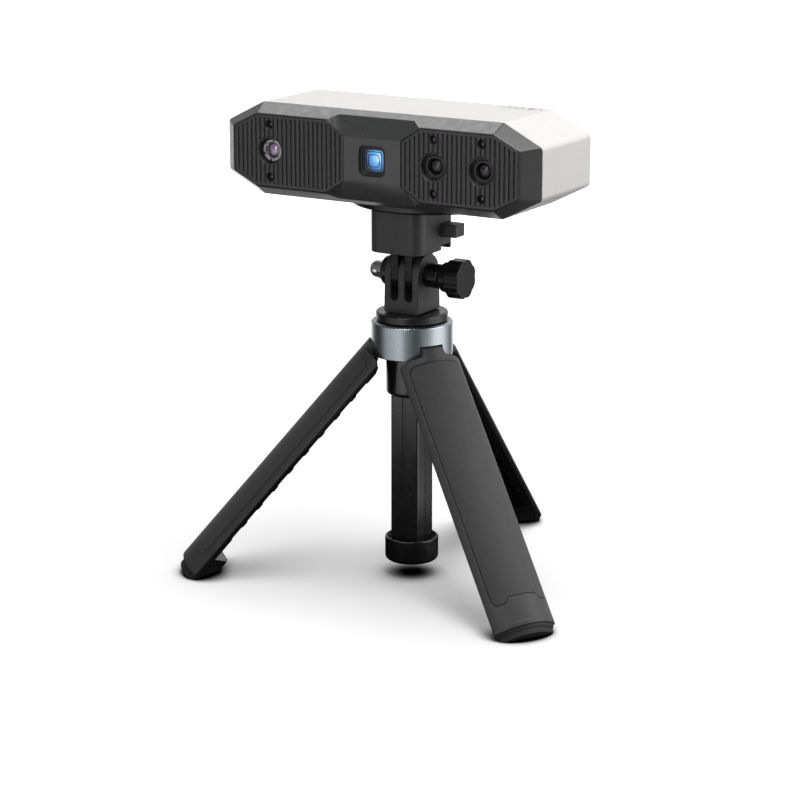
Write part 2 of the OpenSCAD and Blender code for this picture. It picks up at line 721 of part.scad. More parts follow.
module leg_shell() {
    rib_zs = [for (i = [0 : 9]) -14 - i * (leg_reach - 32) / 9.5];
    difference() {
        union() {
            sector([[grip_r - leg_wall, -leg_top - 0.95], [grip_r, -leg_top],
                [grip_r, -leg_end + end_bevel], [grip_r - 1.3, -leg_end],
                [grip_r - leg_wall - 1, -leg_end], [grip_r - leg_wall, -leg_end + 4]],
                -leg_half, leg_half);
            for (s = [-1, 1]) sector([[leg_inner_r, -leg_top - 2], [grip_r - leg_wall + 0.2, -leg_top - 1.2],
                [grip_r - leg_wall + 0.2, floor_z], [leg_inner_r, floor_z]],
                s > 0 ? leg_half - 5 : -leg_half, s > 0 ? leg_half : -leg_half + 5);
            for (z = rib_zs) sector([[leg_inner_r + 0.5, z - rib_h], [grip_r - leg_wall + 0.2, z - rib_h],
                [grip_r - leg_wall + 0.2, z], [leg_inner_r + 0.5, z]], -leg_half + 1, leg_half - 1);
            sector([[tip_r, floor_z - floor_h], [grip_r - leg_wall + 0.2, floor_z - floor_h],
                [grip_r - leg_wall + 0.2, floor_z], [tip_r, floor_z]], -leg_half, leg_half);
            intersection() {
                rotate([90, 0, 0]) translate([0, 0, -tab_w / 2]) linear_extrude(tab_w) union() {
                    translate([hinge_r, 0]) circle(r = knuckle_r);
                    polygon([[11, -9], [grip_r + 1, -9], [grip_r + 1, -2.7], [15, -2.7],
                        [hinge_r + knuckle_r, 0], [11, 0]]);
                }
                translate([0, 0, -50]) cylinder(r = grip_r, h = 100, $fn = 96);
            }
        }
        translate([hinge_r, 0, 0]) rotate([90, 0, 0]) translate([0, 0, -tab_w])
            cylinder(r = pin_r + 0.05, h = 2 * tab_w);
        sector(grip_section(grip_r + 1, slack), -grip_half - 0.4, grip_half + 0.4);
        foot_space(0);
    }
}

function grip_section(r, clear) = [[grip_r - grip_t - 0.04, grip_end - clear], [r, grip_end - clear],
    [r, grip_top + clear], [grip_r - grip_t - 0.04, grip_top + clear]];

module leg_grip()
    sector([[grip_r - grip_t, grip_end], [grip_r - 0.02, grip_end], [grip_r - 0.02, grip_top],
        [grip_r - grip_t, grip_top]], -grip_half, grip_half);

// everything below the ground when the leg is open
module foot_space(clear)
    beyond([sole_r, 0, -leg_reach - clear], [-sin(open_angle), 0, -cos(open_angle)]);

// rubber sole, cut level with the ground in the open position
module leg_foot()
    difference() {
        sector([[tip_r, floor_z - floor_h], [tip_r, -leg_reach], [foot_r, -leg_reach],
            [foot_r, -leg_end - 0.05], [grip_r - leg_wall - 1 - gap, -leg_end - 0.05],
            [grip_r - leg_wall - 1 - gap, -leg_end + 0.4], [grip_r - leg_wall - 0.4, floor_z - floor_h]],
            -leg_half + 0.5, leg_half - 0.5);
        foot_space(0);
    }

module front_left_leg() color([0.22, 0.22, 0.23]) on_leg(front_left) leg_shell();
module front_right_leg() color([0.22, 0.22, 0.23]) on_leg(front_right) leg_shell();
module rear_leg() color([0.22, 0.22, 0.23]) on_leg(rear) leg_shell();

module front_left_grip() color([0.26, 0.26, 0.26]) on_leg(front_left) leg_grip();
module front_right_grip() color([0.26, 0.26, 0.26]) on_leg(front_right) leg_grip();
module rear_grip() color([0.26, 0.26, 0.26]) on_leg(rear) leg_grip();

module front_left_foot() color([0.1, 0.1, 0.1]) on_leg(front_left) leg_foot();
module front_right_foot() color([0.1, 0.1, 0.1]) on_leg(front_right) leg_foot();
module rear_foot() color([0.1, 0.1, 0.1]) on_leg(rear) leg_foot();

rear_housing();
front_bezel();
left_grille();
right_grille();
projector_frame();
projector_window();
projector_module();
projector_lens();
left_camera_barrel();
middle_camera_barrel();
right_camera_barrel();
left_camera_lens();
middle_camera_lens();
right_camera_lens();
camera_boards();
flash_lights();
flash_boards();
optical_bench();
bench_screws();
main_board();
board_screws();
heat_sink();
usb_socket();
status_light();
scan_button();
button_switch();
housing_screws();
base_plate();
thread_insert();
quick_shoe();
shoe_screw();
adapter_block();
latch_lever();
latch_spring();
clevis();
pole_head();
clamp_screw();
clamp_knob();
nut_cup();
acorn_nut();
hub_ring();
hub_core();
hinge_pins();
pole_barrel();
barrel_collar();
barrel_cap();
pole_middle();
middle_bush();
pole_inner();
inner_bush();
front_left_leg();
front_right_leg();
rear_leg();
front_left_grip();
front_right_grip();
rear_grip();
front_left_foot();
front_right_foot();
rear_foot();
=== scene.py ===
import json
import math

import bmesh
import bpy
from mathutils import Matrix, Vector


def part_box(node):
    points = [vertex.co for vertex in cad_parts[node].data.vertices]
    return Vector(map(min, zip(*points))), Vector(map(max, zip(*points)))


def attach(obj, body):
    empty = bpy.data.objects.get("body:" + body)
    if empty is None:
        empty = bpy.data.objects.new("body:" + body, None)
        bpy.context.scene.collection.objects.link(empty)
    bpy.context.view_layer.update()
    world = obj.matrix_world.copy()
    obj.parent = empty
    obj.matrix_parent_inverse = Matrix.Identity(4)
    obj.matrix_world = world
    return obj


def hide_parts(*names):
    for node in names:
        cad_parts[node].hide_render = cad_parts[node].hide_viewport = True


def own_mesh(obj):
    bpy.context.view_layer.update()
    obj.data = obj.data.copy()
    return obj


# Looks for a handheld 3D scanner on a folding mini tripod grip.
# Forms are drawn in millimetres and put into the frame's metres when they are finished.

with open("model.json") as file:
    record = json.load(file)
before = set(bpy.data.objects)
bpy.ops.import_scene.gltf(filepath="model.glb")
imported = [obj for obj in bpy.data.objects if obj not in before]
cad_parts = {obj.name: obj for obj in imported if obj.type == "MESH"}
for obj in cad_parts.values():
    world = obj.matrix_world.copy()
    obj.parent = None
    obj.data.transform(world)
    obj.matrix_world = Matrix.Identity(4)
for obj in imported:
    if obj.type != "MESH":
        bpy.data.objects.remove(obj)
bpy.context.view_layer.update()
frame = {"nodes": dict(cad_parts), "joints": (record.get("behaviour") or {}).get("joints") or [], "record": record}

MM = 0.001
record = frame["record"]
slot_of = {part["node"]: part["material_slot"] for part in record["subparts"]}
body_of = {node: body for body, nodes in record["behaviour"]["bodies"].items() for node in nodes}
joints = {joint["name"]: joint for joint in frame["joints"]}


def span(node):
    """Lowest and highest corner of a CAD node, in millimetres."""
    low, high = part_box(node)
    return low / MM, high / MM


def middle(node):
    """Centre of a CAD node's box, in millimetres."""
    low, high = span(node)
    return (low + high) / 2


# ---- where things are, from the frame ----

POLE = middle("barrel_cap")
PIVOT = middle("clamp_screw")
HOUSING_LOW, HOUSING_HIGH = span("rear_housing")
HEAD = Vector((0, POLE.y, (HOUSING_LOW.z + HOUSING_HIGH.z) / 2))
HALF_W = HOUSING_HIGH.x
HALF_H = HOUSING_HIGH.z - HEAD.z
FRONT_Y = span("front_bezel")[0].y - HEAD.y
SEAM_Y = HOUSING_LOW.y - HEAD.y
BACK_Y = HOUSING_HIGH.y - HEAD.y
CAMERA_XS = [middle(side + "_camera_barrel").x for side in ("left", "middle", "right")]
HINGE_Z = joints["rear_leg_fold"]["pos_m"][2] / MM
HINGE_R = joints["rear_leg_fold"]["pos_m"][1] / MM - POLE.y
OPEN = math.radians(joints["rear_leg_fold"]["range_deg"][1])


# ---- materials ----

class Shader:
    """A material's nodes, with short ways to add and join them."""

    def __init__(self, name):
        self.material = bpy.data.materials.new(name)
        self.material.use_nodes = True
        self.nodes = self.material.node_tree.nodes
        self.surface = self.nodes["Principled BSDF"]
        self.place = self.add("TexCoord").outputs["Object"]

    def add(self, kind, **settings):
        node = self.nodes.new("ShaderNode" + kind)
        for key, value in settings.items():
            setattr(node, key, value)
        return node

    def join(self, output, socket):
        self.material.node_tree.links.new(output, socket)

    def set(self, **values):
        for key, value in values.items():
            self.surface.inputs[key.replace("_", " ")].default_value = value

    def noise(self, size, detail=2.0, stretch=(1, 1, 1)):
        """Noise whose features are about size millimetres across, longer where stretch is small."""
        place = self.add("Mapping")
        place.inputs["Scale"].default_value = stretch
        self.join(self.place, place.inputs["Vector"])
        node = self.add("TexNoise")
        node.inputs["Scale"].default_value = 1 / (size * MM)
        node.inputs["Detail"].default_value = detail
        self.join(place.outputs["Vector"], node.inputs["Vector"])
        return node.outputs["Fac"]

    def ramp(self, value, low, high, start=0.3, end=0.7):
        """value between start and end becomes a number between low and high."""
        node = self.add("MapRange")
        for key, number in (("From Min", start), ("From Max", end), ("To Min", low), ("To Max", high)):
            node.inputs[key].default_value = number
        self.join(value, node.inputs["Value"])
        return node.outputs["Result"]

    def mix(self, share, first, second):
        """Colour between first and second; share is an output."""
        node = self.add("Mix", data_type="RGBA")
        for colour, socket in ((first, node.inputs[6]), (second, node.inputs[7])):
            if isinstance(colour, tuple):
                socket.default_value = (*colour, 1)
            else:
                self.join(colour, socket)
        self.join(share, node.inputs[0])
        return node.outputs[2]

    def edges(self, radius):
        """(normal that is rounded off at edges, how much of an edge a point is)."""
        bevel = self.add("Bevel", samples=4)
        bevel.inputs["Radius"].default_value = radius * MM
        flat = self.add("NewGeometry")
        turn = self.add("VectorMath", operation="DOT_PRODUCT")
        self.join(bevel.outputs["Normal"], turn.inputs[0])
        self.join(flat.outputs["Normal"], turn.inputs[1])
        return bevel.outputs["Normal"], self.ramp(turn.outputs["Value"], 1, 0, 0.9, 0.995)

    def bump(self, height, depth, normal=None):
        node = self.add("Bump")
        node.inputs["Distance"].default_value = depth * MM
        self.join(height, node.inputs["Height"])
        if normal is not None:
            self.join(normal, node.inputs["Normal"])
        return node.outputs["Normal"]


def shade(colour, factor):
    return tuple(min(1, part * factor) for part in colour)


def moulded(name, colour, rough, grain=0.35, depth=0.012, edge=0.3, edge_highlight=1.25, **more):
    """Moulded plastic or rubber: fine grain, faint mottling, and a painted highlight that lightens the edges."""
    shader = Shader(name)
    normal, edge_highlight_mask = shader.edges(edge)
    cloud = shader.noise(9, 4)
    fine = shader.noise(grain, 3)
    base = shader.mix(shader.ramp(cloud, 0, 1), shade(colour, 0.98), shade(colour, 1.02))
    base = shader.mix(shader.ramp(fine, 0, 0.35), base, shade(colour, 0.8))
    # painted highlight: the colour is lightened along the edges
    shader.join(shader.mix(edge_highlight_mask, base, shade(colour, edge_highlight)), shader.surface.inputs["Base Color"])
    shader.join(shader.ramp(shader.noise(2.5, 3), rough - 0.05, rough + 0.05), shader.surface.inputs["Roughness"])
    shader.join(shader.bump(fine, depth, normal), shader.surface.inputs["Normal"])
    shader.set(**more)
    return shader.material


def metal(name, colour, rough, stretch=(1, 1, 1), depth=0.004, edge=0.2, **more):
    """Metal with fine machining lines, shorter along the axis that stretch makes large."""
    shader = Shader(name)
    normal, edge_highlight_mask = shader.edges(edge)
    lines = shader.noise(1.2, 5, stretch)
    stain = shader.noise(7, 3)
    base = shader.mix(shader.ramp(lines, 0, 1), shade(colour, 0.9), shade(colour, 1.08))
    base = shader.mix(shader.ramp(stain, 0, 0.2), base, shade(colour, 0.75))
    # painted highlight: the colour is lightened along the edges
    shader.join(shader.mix(edge_highlight_mask, base, shade(colour, 1.2)), shader.surface.inputs["Base Color"])
    shader.join(shader.ramp(lines, rough - 0.05, rough + 0.07), shader.surface.inputs["Roughness"])
    shader.join(shader.bump(lines, depth, normal), shader.surface.inputs["Normal"])
    shader.set(Metallic=1.0, **more)
    return shader.material


def coated_lens(name, centre, rim, haze):
    """Coated glass: the colour turns from the centre's to the rim's with the viewing angle."""
    shader = Shader(name)
    facing = shader.add("LayerWeight")
    facing.inputs["Blend"].default_value = 0.4
    dust = shader.noise(0.5, 3)
    base = shader.mix(facing.outputs["Facing"], centre, rim)
    base = shader.mix(shader.ramp(dust, 0, 0.15), base, (0.5, 0.5, 0.52))
    shader.join(base, shader.surface.inputs["Base Color"])
    shader.join(shader.ramp(dust, 0.03, 0.09), shader.surface.inputs["Roughness"])
    shader.set(Coat_Weight=0.4, Coat_Roughness=0.02, Specular_IOR_Level=0.3, Metallic=haze)
    return shader.material


def circuit_board():
    """Green lacquer over copper tracks, with pale printed dots."""
    shader = Shader("circuit_board")
    tracks = shader.add("TexBrick", offset=0.5)
    tracks.inputs["Scale"].default_value = 260
    tracks.inputs["Mortar Size"].default_value = 0.03
    shader.join(shader.place, tracks.inputs["Vector"])
    green = shader.mix(shader.ramp(shader.noise(3, 4), 0, 1), (0.01, 0.11, 0.05), (0.015, 0.16, 0.07))
    shader.join(shader.mix(tracks.outputs["Fac"], green, (0.05, 0.26, 0.1)), shader.surface.inputs["Base Color"])
    shader.join(shader.bump(tracks.outputs["Fac"], 0.03), shader.surface.inputs["Normal"])
    shader.set(Roughness=0.3, Coat_Weight=0.5)
    return shader.material


def glowing(name, colour, strength, grain=0.6):
    """Lit clear plastic or glass, brighter in patches."""
    shader = Shader(name)
    patches = shader.noise(grain, 2)
    tint = shader.mix(shader.ramp(patches, 0, 1), shade(colour, 0.6), colour)
    shader.join(tint, shader.surface.inputs["Base Color"])
    shader.join(tint, shader.surface.inputs["Emission Color"])
    shader.join(shader.ramp(patches, strength * 0.7, strength * 1.2), shader.surface.inputs["Emission Strength"])
    shader.set(Roughness=0.15, Coat_Weight=0.6)
    return shader.material


def projector_glow():
    """Lit projector optics: near black at the rim, blue inside, and pale bars of light right of the middle."""
    shader = Shader("blue_glass")
    spot = shader.add("Mapping", vector_type="TEXTURE")
    spot.inputs["Location"].default_value = (1.5 * MM, (HEAD.y + FRONT_Y + 3) * MM, (HEAD.z + 1.2) * MM)
    spot.inputs["Scale"].default_value = (5.2 * MM, 20 * MM, 6.0 * MM)
    shader.join(shader.place, spot.inputs["Vector"])
    halo = shader.add("TexGradient", gradient_type="SPHERICAL")
    shader.join(spot.outputs["Vector"], halo.inputs["Vector"])
    bars = shader.add("TexWave", wave_profile="SAW", bands_direction="X")
    bars.inputs["Scale"].default_value = 105
    bars.inputs["Distortion"].default_value = 0.6
    shader.join(shader.place, bars.inputs["Vector"])
    blue = shader.mix(shader.ramp(halo.outputs["Fac"], 0, 1, 0.0, 0.62), (0.004, 0.014, 0.035), (0.09, 0.36, 0.78))
    pale = shader.mix(shader.ramp(bars.outputs["Fac"], 0, 1, 0.35, 0.75), (0.2, 0.5, 0.86), (0.72, 0.88, 1.0))
    tint = shader.mix(shader.ramp(halo.outputs["Fac"], 0, 1, 0.6, 0.82), blue, pale)
    shader.join(tint, shader.surface.inputs["Base Color"])
    shader.join(tint, shader.surface.inputs["Emission Color"])
    shader.set(Roughness=0.12, Coat_Weight=0.6, Emission_Strength=0.8)
    return shader.material


FINISHES = {
    "white_shell": moulded("white_shell", (0.76, 0.742, 0.735), 0.5, 0.5, 0.003, 0.3, 1.04),
    "bezel_dark": moulded("bezel_dark", (0.052, 0.053, 0.053), 0.32, 0.5, 0.0006, 0.22, 1.4, Specular_IOR_Level=0.8),
    "rib_panel": moulded("rib_panel", (0.05, 0.05, 0.05), 0.38, 0.3, 0.005, 0.2, 3.4),
    "black_plastic": moulded("black_plastic", (0.013, 0.013, 0.013), 0.26, 0.3, 0.004, 0.3, 1.8),
    "grip_plastic": moulded("grip_plastic", (0.044, 0.044, 0.045), 0.46, 0.35, 0.02, 0.35, 1.4),
    "soft_grip": moulded("soft_grip", (0.044, 0.044, 0.045), 0.62, 0.45, 0.035, 0.3, 1.25, Sheen_Weight=0.08),
    "foot_rubber": moulded("foot_rubber", (0.014, 0.014, 0.014), 0.7, 0.5, 0.04, 0.3, 1.5),
    "knob_black": moulded("knob_black", (0.008, 0.008, 0.008), 0.24, 0.5, 0.004, 0.25, 1.5,
                          Specular_IOR_Level=0.25),
    "pole_black": moulded("pole_black", (0.01, 0.01, 0.01), 0.22, 0.3, 0.003, 0.3, 1.6, Specular_IOR_Level=1.0),
    "ring_grey": metal("ring_grey", (0.42, 0.46, 0.49), 0.27, (3, 3, 4), 0.0012),
    "aluminium": metal("aluminium", (0.72, 0.72, 0.74), 0.3, (5, 5, 0.3)),
    "steel": metal("steel", (0.56, 0.56, 0.57), 0.25),
    "chrome": metal("chrome", (0.86, 0.86, 0.87), 0.05, depth=0.0005),
    "brass": metal("brass", (0.7, 0.47, 0.17), 0.28, (0.2, 0.2, 6)),
    "circuit_board": circuit_board(),
    "barrel_grey": metal("barrel_grey", (0.42, 0.41, 0.4), 0.34, (3, 8, 3)),
    "lens_violet": coated_lens("lens_violet", (0.6, 0.42, 0.66), (0.2, 0.05, 0.22), 0.3),
    "lens_purple": coated_lens("lens_purple", (0.018, 0.004, 0.013), (0.06, 0.016, 0.075), 0.1),
    "blue_glass": projector_glow(),
    "flash_lens": coated_lens("flash_lens", (0.05, 0.03, 0.05), (0.2, 0.16, 0.2), 0.1),
    "light_pipe": glowing("light_pipe", (0.5, 0.85, 0.65), 0.35),
    "button_grey": moulded("button_grey", (0.7, 0.69, 0.68), 0.45, 0.4, 0.006, 0.25, 1.05),
    "nylon": moulded("nylon", (0.75, 0.74, 0.7), 0.5),
}

for node, cad_part in frame["nodes"].items():
    for material_slot in cad_part.material_slots:
        material_slot.material = FINISHES[slot_of[node]]


# ---- forms ----

X, Y, Z = Vector((1, 0, 0)), Vector((0, 1, 0)), Vector((0, 0, 1))
UPRIGHT = Matrix(((1, 0, 0, 0), (0, 0, 1, 0), (0, 1, 0, 0), (0, 0, 0, 1)))
SIDEWAYS = Matrix(((0, 0, 1, 0), (1, 0, 0, 0), (0, 1, 0, 0), (0, 0, 0, 1)))


def rounded(corners, radius, steps=4):
    """A closed outline whose corners are arcs; radius is one number or one for each corner."""
    points = []
    for i, corner in enumerate(corners):
        here = Vector(corner)
        size = radius[i] if isinstance(radius, (list, tuple)) else radius
        if not size:
            points.append(here)
            continue
        before = (Vector(corners[i - 1]) - here).normalized()
        after = (Vector(corners[(i + 1) % len(corners)]) - here).normalized()
        half = before.angle(after) / 2
        centre = here + (before + after).normalized() * size / math.sin(half)
        first = here + before * size / math.tan(half) - centre
        last = here + after * size / math.tan(half) - centre
        turn = first.angle_signed(last)
        for k in range(steps + 1):
            angle = math.atan2(first.y, first.x) - turn * k / steps
            points.append(centre + Vector((math.cos(angle), math.sin(angle))) * size)
    return points


def rectangle(x0, x1, y0, y1):
    return [(x0, y0), (x1, y0), (x1, y1), (x0, y1)]


def octagon(a, c, b, h):
    """Eight-sided outline: straight ends at a up to c, straight top at h out to b."""
    return [(a, -c), (a, c), (b, h), (-b, h), (-a, c), (-a, -c), (-b, -h), (b, -h)]


def inset(outline, distance):
    """The outline with every side moved inwards by distance."""
    points = [Vector(point) for point in outline]
    area = sum(points[i - 1].x * p.y - p.x * points[i - 1].y for i, p in enumerate(points))
    way = 1 if area > 0 else -1
    moved = []
    for i, point in enumerate(points):
        a = (point - points[i - 1]).normalized()
        b = (points[(i + 1) % len(points)] - point).normalized()
        normals = Vector((-a.y - b.y, a.x + b.x)) * way
        moved.append(point + normals * distance / (1 + a.dot(b)))
    return moved


def outward(form):
    """Turns every face of a closed form to the outside."""
    bmesh.ops.recalc_face_normals(form, faces=form.faces)
    if form.calc_volume(signed=True) < 0:
        bmesh.ops.reverse_faces(form, faces=form.faces)
    return form


def moved(form, by=(0, 0, 0), turn=None):
    """The form turned by a matrix and then shifted."""
    if turn is not None:
        form.transform(turn)
        if turn.determinant() < 0:
            bmesh.ops.reverse_faces(form, faces=form.faces)
    form.transform(Matrix.Translation(by))
    return form


def loft(rings, closed=True):
    """Skin over a run of rings with as many points each; closed puts a face over both ends."""
    form = bmesh.new()
    rows = [[form.verts.new(point) for point in ring] for ring in rings]
    for low, high in zip(rows, rows[1:]):
        for i in range(len(low)):
            form.faces.new((low[i - 1], low[i], high[i], high[i - 1]))
    if closed:
        form.faces.new(rows[0])
        form.faces.new(rows[-1])
    return outward(form)


def slab(outline, low, high, low_edge=0.0, high_edge=0.0, turn=None, steps=3):
    """A plate over an outline, from low to high, with rounded rims; turn is a matrix that sets it up."""
    rings = []
    for k in range(steps + 1 if low_edge else 1):
        angle = math.pi / 2 * (k / steps if low_edge else 1)
        ring = inset(outline, low_edge * (1 - math.sin(angle)))
        rings.append([(*p, low + low_edge * (1 - math.cos(angle))) for p in ring])
    for k in range(steps + 1 if high_edge else 1):
        angle = math.pi / 2 * (1 - k / steps if high_edge else 1)
        ring = inset(outline, high_edge * (1 - math.sin(angle)))
        rings.append([(*p, high - high_edge * (1 - math.cos(angle))) for p in ring])
    if high_edge > 1:
        rings.append([(*p, high) for p in inset(outline, high_edge + 0.06)])
    return moved(loft(rings), turn=turn)


def turned(profile, steps=64, bored=False, turn=None):
    """A solid of revolution round Z from (radius, height) points; bored joins the last point to the first."""
    form = bmesh.new()
    rows = []
    for radius, height in profile:
        if radius == 0:
            rows.append([form.verts.new((0, 0, height))] * steps)
            continue
        rows.append([form.verts.new((radius * math.cos(2 * math.pi * i / steps),
                                     radius * math.sin(2 * math.pi * i / steps), height))
                     for i in range(steps)])
    for low, high in zip(rows, rows[1:] + rows[:1] if bored else rows[1:]):
        for i in range(steps):
            corners = dict.fromkeys((low[i - 1], low[i], high[i], high[i - 1]))
            form.faces.new(corners)
    return moved(outward(form), turn=turn)


def bar(radius, low, high, at=(0, 0), turn=None, edge=0.0, steps=32):
    """A round bar from low to high with rounded ends."""
    profile = [(0, low)]
    for k in range(4 if edge else 1):
        angle = math.pi / 2 * (k / 3 if edge else 1)
        profile.append((radius - edge * (1 - math.sin(angle)), low + edge * (1 - math.cos(angle))))
    profile += [(r, low + high - h) for r, h in reversed(profile)]
    return moved(moved(turned(profile, steps), (*at, 0)), turn=turn)


def block(x0, x1, y0, y1, z0, z1, corner=0.3, edge=0.3):
    """A box with rounded corners and rims."""
    return slab(rounded(rectangle(x0, x1, y0, y1), corner, 3), z0, z1, edge, edge)


def together(*forms):
    """Several closed forms as one."""
    whole = bmesh.new()
    for form in forms:
        scratch = bpy.data.meshes.new("scratch")
        form.to_mesh(scratch)
        form.free()
        whole.from_mesh(scratch)
        bpy.data.meshes.remove(scratch)
    return whole


def carved(form, *tools):
    """The form with every tool cut out of it."""
    scratch = []
    for shape in (form, *tools):
        large = [face for face in shape.faces if len(face.verts) > 4]
        bmesh.ops.triangulate(shape, faces=large, ngon_method="EAR_CLIP")
        mesh = bpy.data.meshes.new("scratch")
        shape.to_mesh(mesh)
        shape.free()
        scratch.append(bpy.data.objects.new("scratch", mesh))
        bpy.context.scene.collection.objects.link(scratch[-1])
    for tool in scratch[1:]:
        cut = scratch[0].modifiers.new("cut", "BOOLEAN")
        cut.solver = "MANIFOLD"
        cut.object = tool
    bpy.context.view_layer.update()
    cut_mesh = scratch[0].evaluated_get(bpy.context.evaluated_depsgraph_get()).to_mesh()
    result = bmesh.new()
    result.from_mesh(cut_mesh)
    bmesh.ops.dissolve_degenerate(result, edges=result.edges[:], dist=0.004)
    large = [face for face in result.faces if len(face.verts) > 3]
    bmesh.ops.triangulate(result, faces=large, ngon_method="EAR_CLIP")
    bmesh.ops.dissolve_degenerate(result, edges=result.edges[:], dist=0.004)
    for holder in scratch:
        mesh = holder.data
        bpy.data.objects.remove(holder)
        bpy.data.meshes.remove(mesh)
    return result


def soften(form, width, where, steps=2, sharper=25):
    """Rounds the form's edges that are sharper than an angle and lie where the test says."""
    edges = [e for e in form.edges if len(e.link_faces) == 2
             and e.calc_face_angle(0) > math.radians(sharper)
             and all(where(v.co) for v in e.verts)]
    bmesh.ops.bevel(form, geom=edges, offset=width, segments=steps, profile=0.5, affect="EDGES",
                    clamp_overlap=True)
    return form


def piece(name, form, *nodes, at=(0, 0, 0), finish=None, body=None, crease=35):
    """Finishes a form: scaled, smoothed, given its material, and set to ride for the nodes it stands for."""
    form.transform(Matrix.Translation(at))
    form.transform(Matrix.Scale(MM, 4))
    bmesh.ops.remove_doubles(form, verts=form.verts, dist=1e-6)
    mesh = bpy.data.meshes.new(name)
    form.to_mesh(mesh)
    form.free()
    mesh.polygons.foreach_set("use_smooth", [True] * len(mesh.polygons))
    mesh.set_sharp_from_angle(angle=math.radians(crease))
    made = bpy.data.objects.new(name, mesh)
    bpy.context.scene.collection.objects.link(made)
    weights = made.modifiers.new("weighted", "WEIGHTED_NORMAL")
    weights.keep_sharp = True
    slot = finish or slot_of[nodes[0]]
    mesh.materials.append(FINISHES[slot])
    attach(made, body or body_of[nodes[0]])
    if nodes:
        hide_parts(*nodes)
    return made


# ---- scanner head, drawn round its own centre; X right, Y back, Z up ----

END_Z = 9.98
TOP_X = HALF_W - 16.5
WALL = 2.2
PANEL_DEPTH = 2.0
RIB_PITCH = 2.05
CAMERA_HOLE = 5.7
FLASH_Z = 10.45
FLASH_HOLE = 1.85
WINDOW = 12.0
FLAT_X = 12.8
FLAT_Z = 9.15
FLOOR_Y = FRONT_Y + 3.6
SCREW_SPOTS = [(x, z) for x in (-61, 61) for z in (-7.2, 7.2)]
BUTTON = middle("scan_button")
SOCKET = middle("usb_socket")
LAMP = middle("status_light")


def pill(length, width, steps=12):
    """Outline of a long round-ended key, along X."""
    return rounded(rectangle(-length / 2, length / 2, -width / 2, width / 2), width / 2 - 0.05, steps)


def rear_housing():
    outline = rounded(octagon(HALF_W, END_Z, TOP_X, HALF_H), 2.4, 5)
    shell = slab(outline, SEAM_Y + 0.04, BACK_Y, 0.35, 1.8, UPRIGHT, 5)
    inside = rounded(inset(octagon(HALF_W, END_Z, TOP_X, HALF_H), WALL), 0.6, 2)
    cavity = slab(inside, SEAM_Y - 2, BACK_Y - WALL, turn=UPRIGHT)
    key = slab(pill(18.4, 6.0), HALF_H - WALL - 1, HALF_H + 1)
    key_rim = slab(pill(19.2, 6.8), HALF_H - 0.35, HALF_H + 1, 0.34)
    tools = [cavity]
    for tool in (key, key_rim):
        tools.append(moved(tool, by=(BUTTON.x, BUTTON.y - HEAD.y, 0)))
    tools.append(moved(slab(pill(9.2, 3.4), BACK_Y - WALL - 1, BACK_Y + 1, turn=UPRIGHT), by=(SOCKET.x, 0, 0)))
    tools.append(moved(slab(pill(11.4, 5.6), BACK_Y - 0.5, BACK_Y + 1, 0.4, turn=UPRIGHT), by=(SOCKET.x, 0, 0)))
    tools.append(bar(1.06, BACK_Y - WALL - 1, BACK_Y + 1, (LAMP.x, 0), UPRIGHT))
    for spot in SCREW_SPOTS:
        tools.append(bar(2.5, BACK_Y - 1.25, BACK_Y + 1, spot, UPRIGHT))
        tools.append(bar(1.3, BACK_Y - WALL - 1, BACK_Y + 1, spot, UPRIGHT))
    tools.append(bar(5.0, -HALF_H - 1, -HALF_H + WALL + 1))
    piece("rear_housing_shell", carved(shell, *tools), "rear_housing", at=HEAD)


def wedge(s):
    """The space that the sloping cut above (s = 1) or below (s = -1) the projector takes away."""
    form = block(-32, 32, FRONT_Y - 6, SEAM_Y + 1, 0, 32, 0, 0) if s > 0 else \
        block(-32, 32, FRONT_Y - 6, SEAM_Y + 1, -32, 0, 0, 0)
    a = Vector((FLAT_X, FRONT_Y, s * FLAT_Z))
    b = Vector((21.4, FRONT_Y, s * 14.39))
    c = Vector((16.7, FRONT_Y + 3.44, s * 16.4))
    brow = (c - a).cross(X)
    side = (b - a).cross(c - a)
    for point, normal, inner in ((a, brow, Vector((0, FRONT_Y - 9, s * 30))),
                                 (a, side, Vector((0, FRONT_Y, s * 14))),
                                 (None, None, None)):
        if point is None:
            break
        way = normal if (inner - point).dot(normal) < 0 else -normal
        sliced(form, point, way)
        if normal is side:
            sliced(form, Vector((-a.x, a.y, a.z)), Vector((-way.x, way.y, way.z)))
    return form


def sliced(form, point, normal):
    """Takes away what lies on the normal's side of a plane, and closes the cut."""
    cut = bmesh.ops.bisect_plane(form, geom=form.verts[:] + form.edges[:] + form.faces[:],
                                 plane_co=point, plane_no=normal, clear_outer=True)
    rim = [item for item in cut["geom_cut"] if isinstance(item, bmesh.types.BMEdge)]
    bmesh.ops.edgenet_fill(form, edges=rim)
    return outward(form)


def panel_outline(border=0.0):
    corners = [(FLAT_X, -9), (63.9, -9.1), (63.9, 9.1), (FLAT_X, 9)]
    corners = [(FLAT_X, -9), (21.4, -14.35), (53, -14.35), (63.9, -9.1), (63.9, 9.1), (53, 14.35), (21.4, 14.35),
               (FLAT_X, 9)]
    return inset(rounded(corners, 0.5, 2), border)


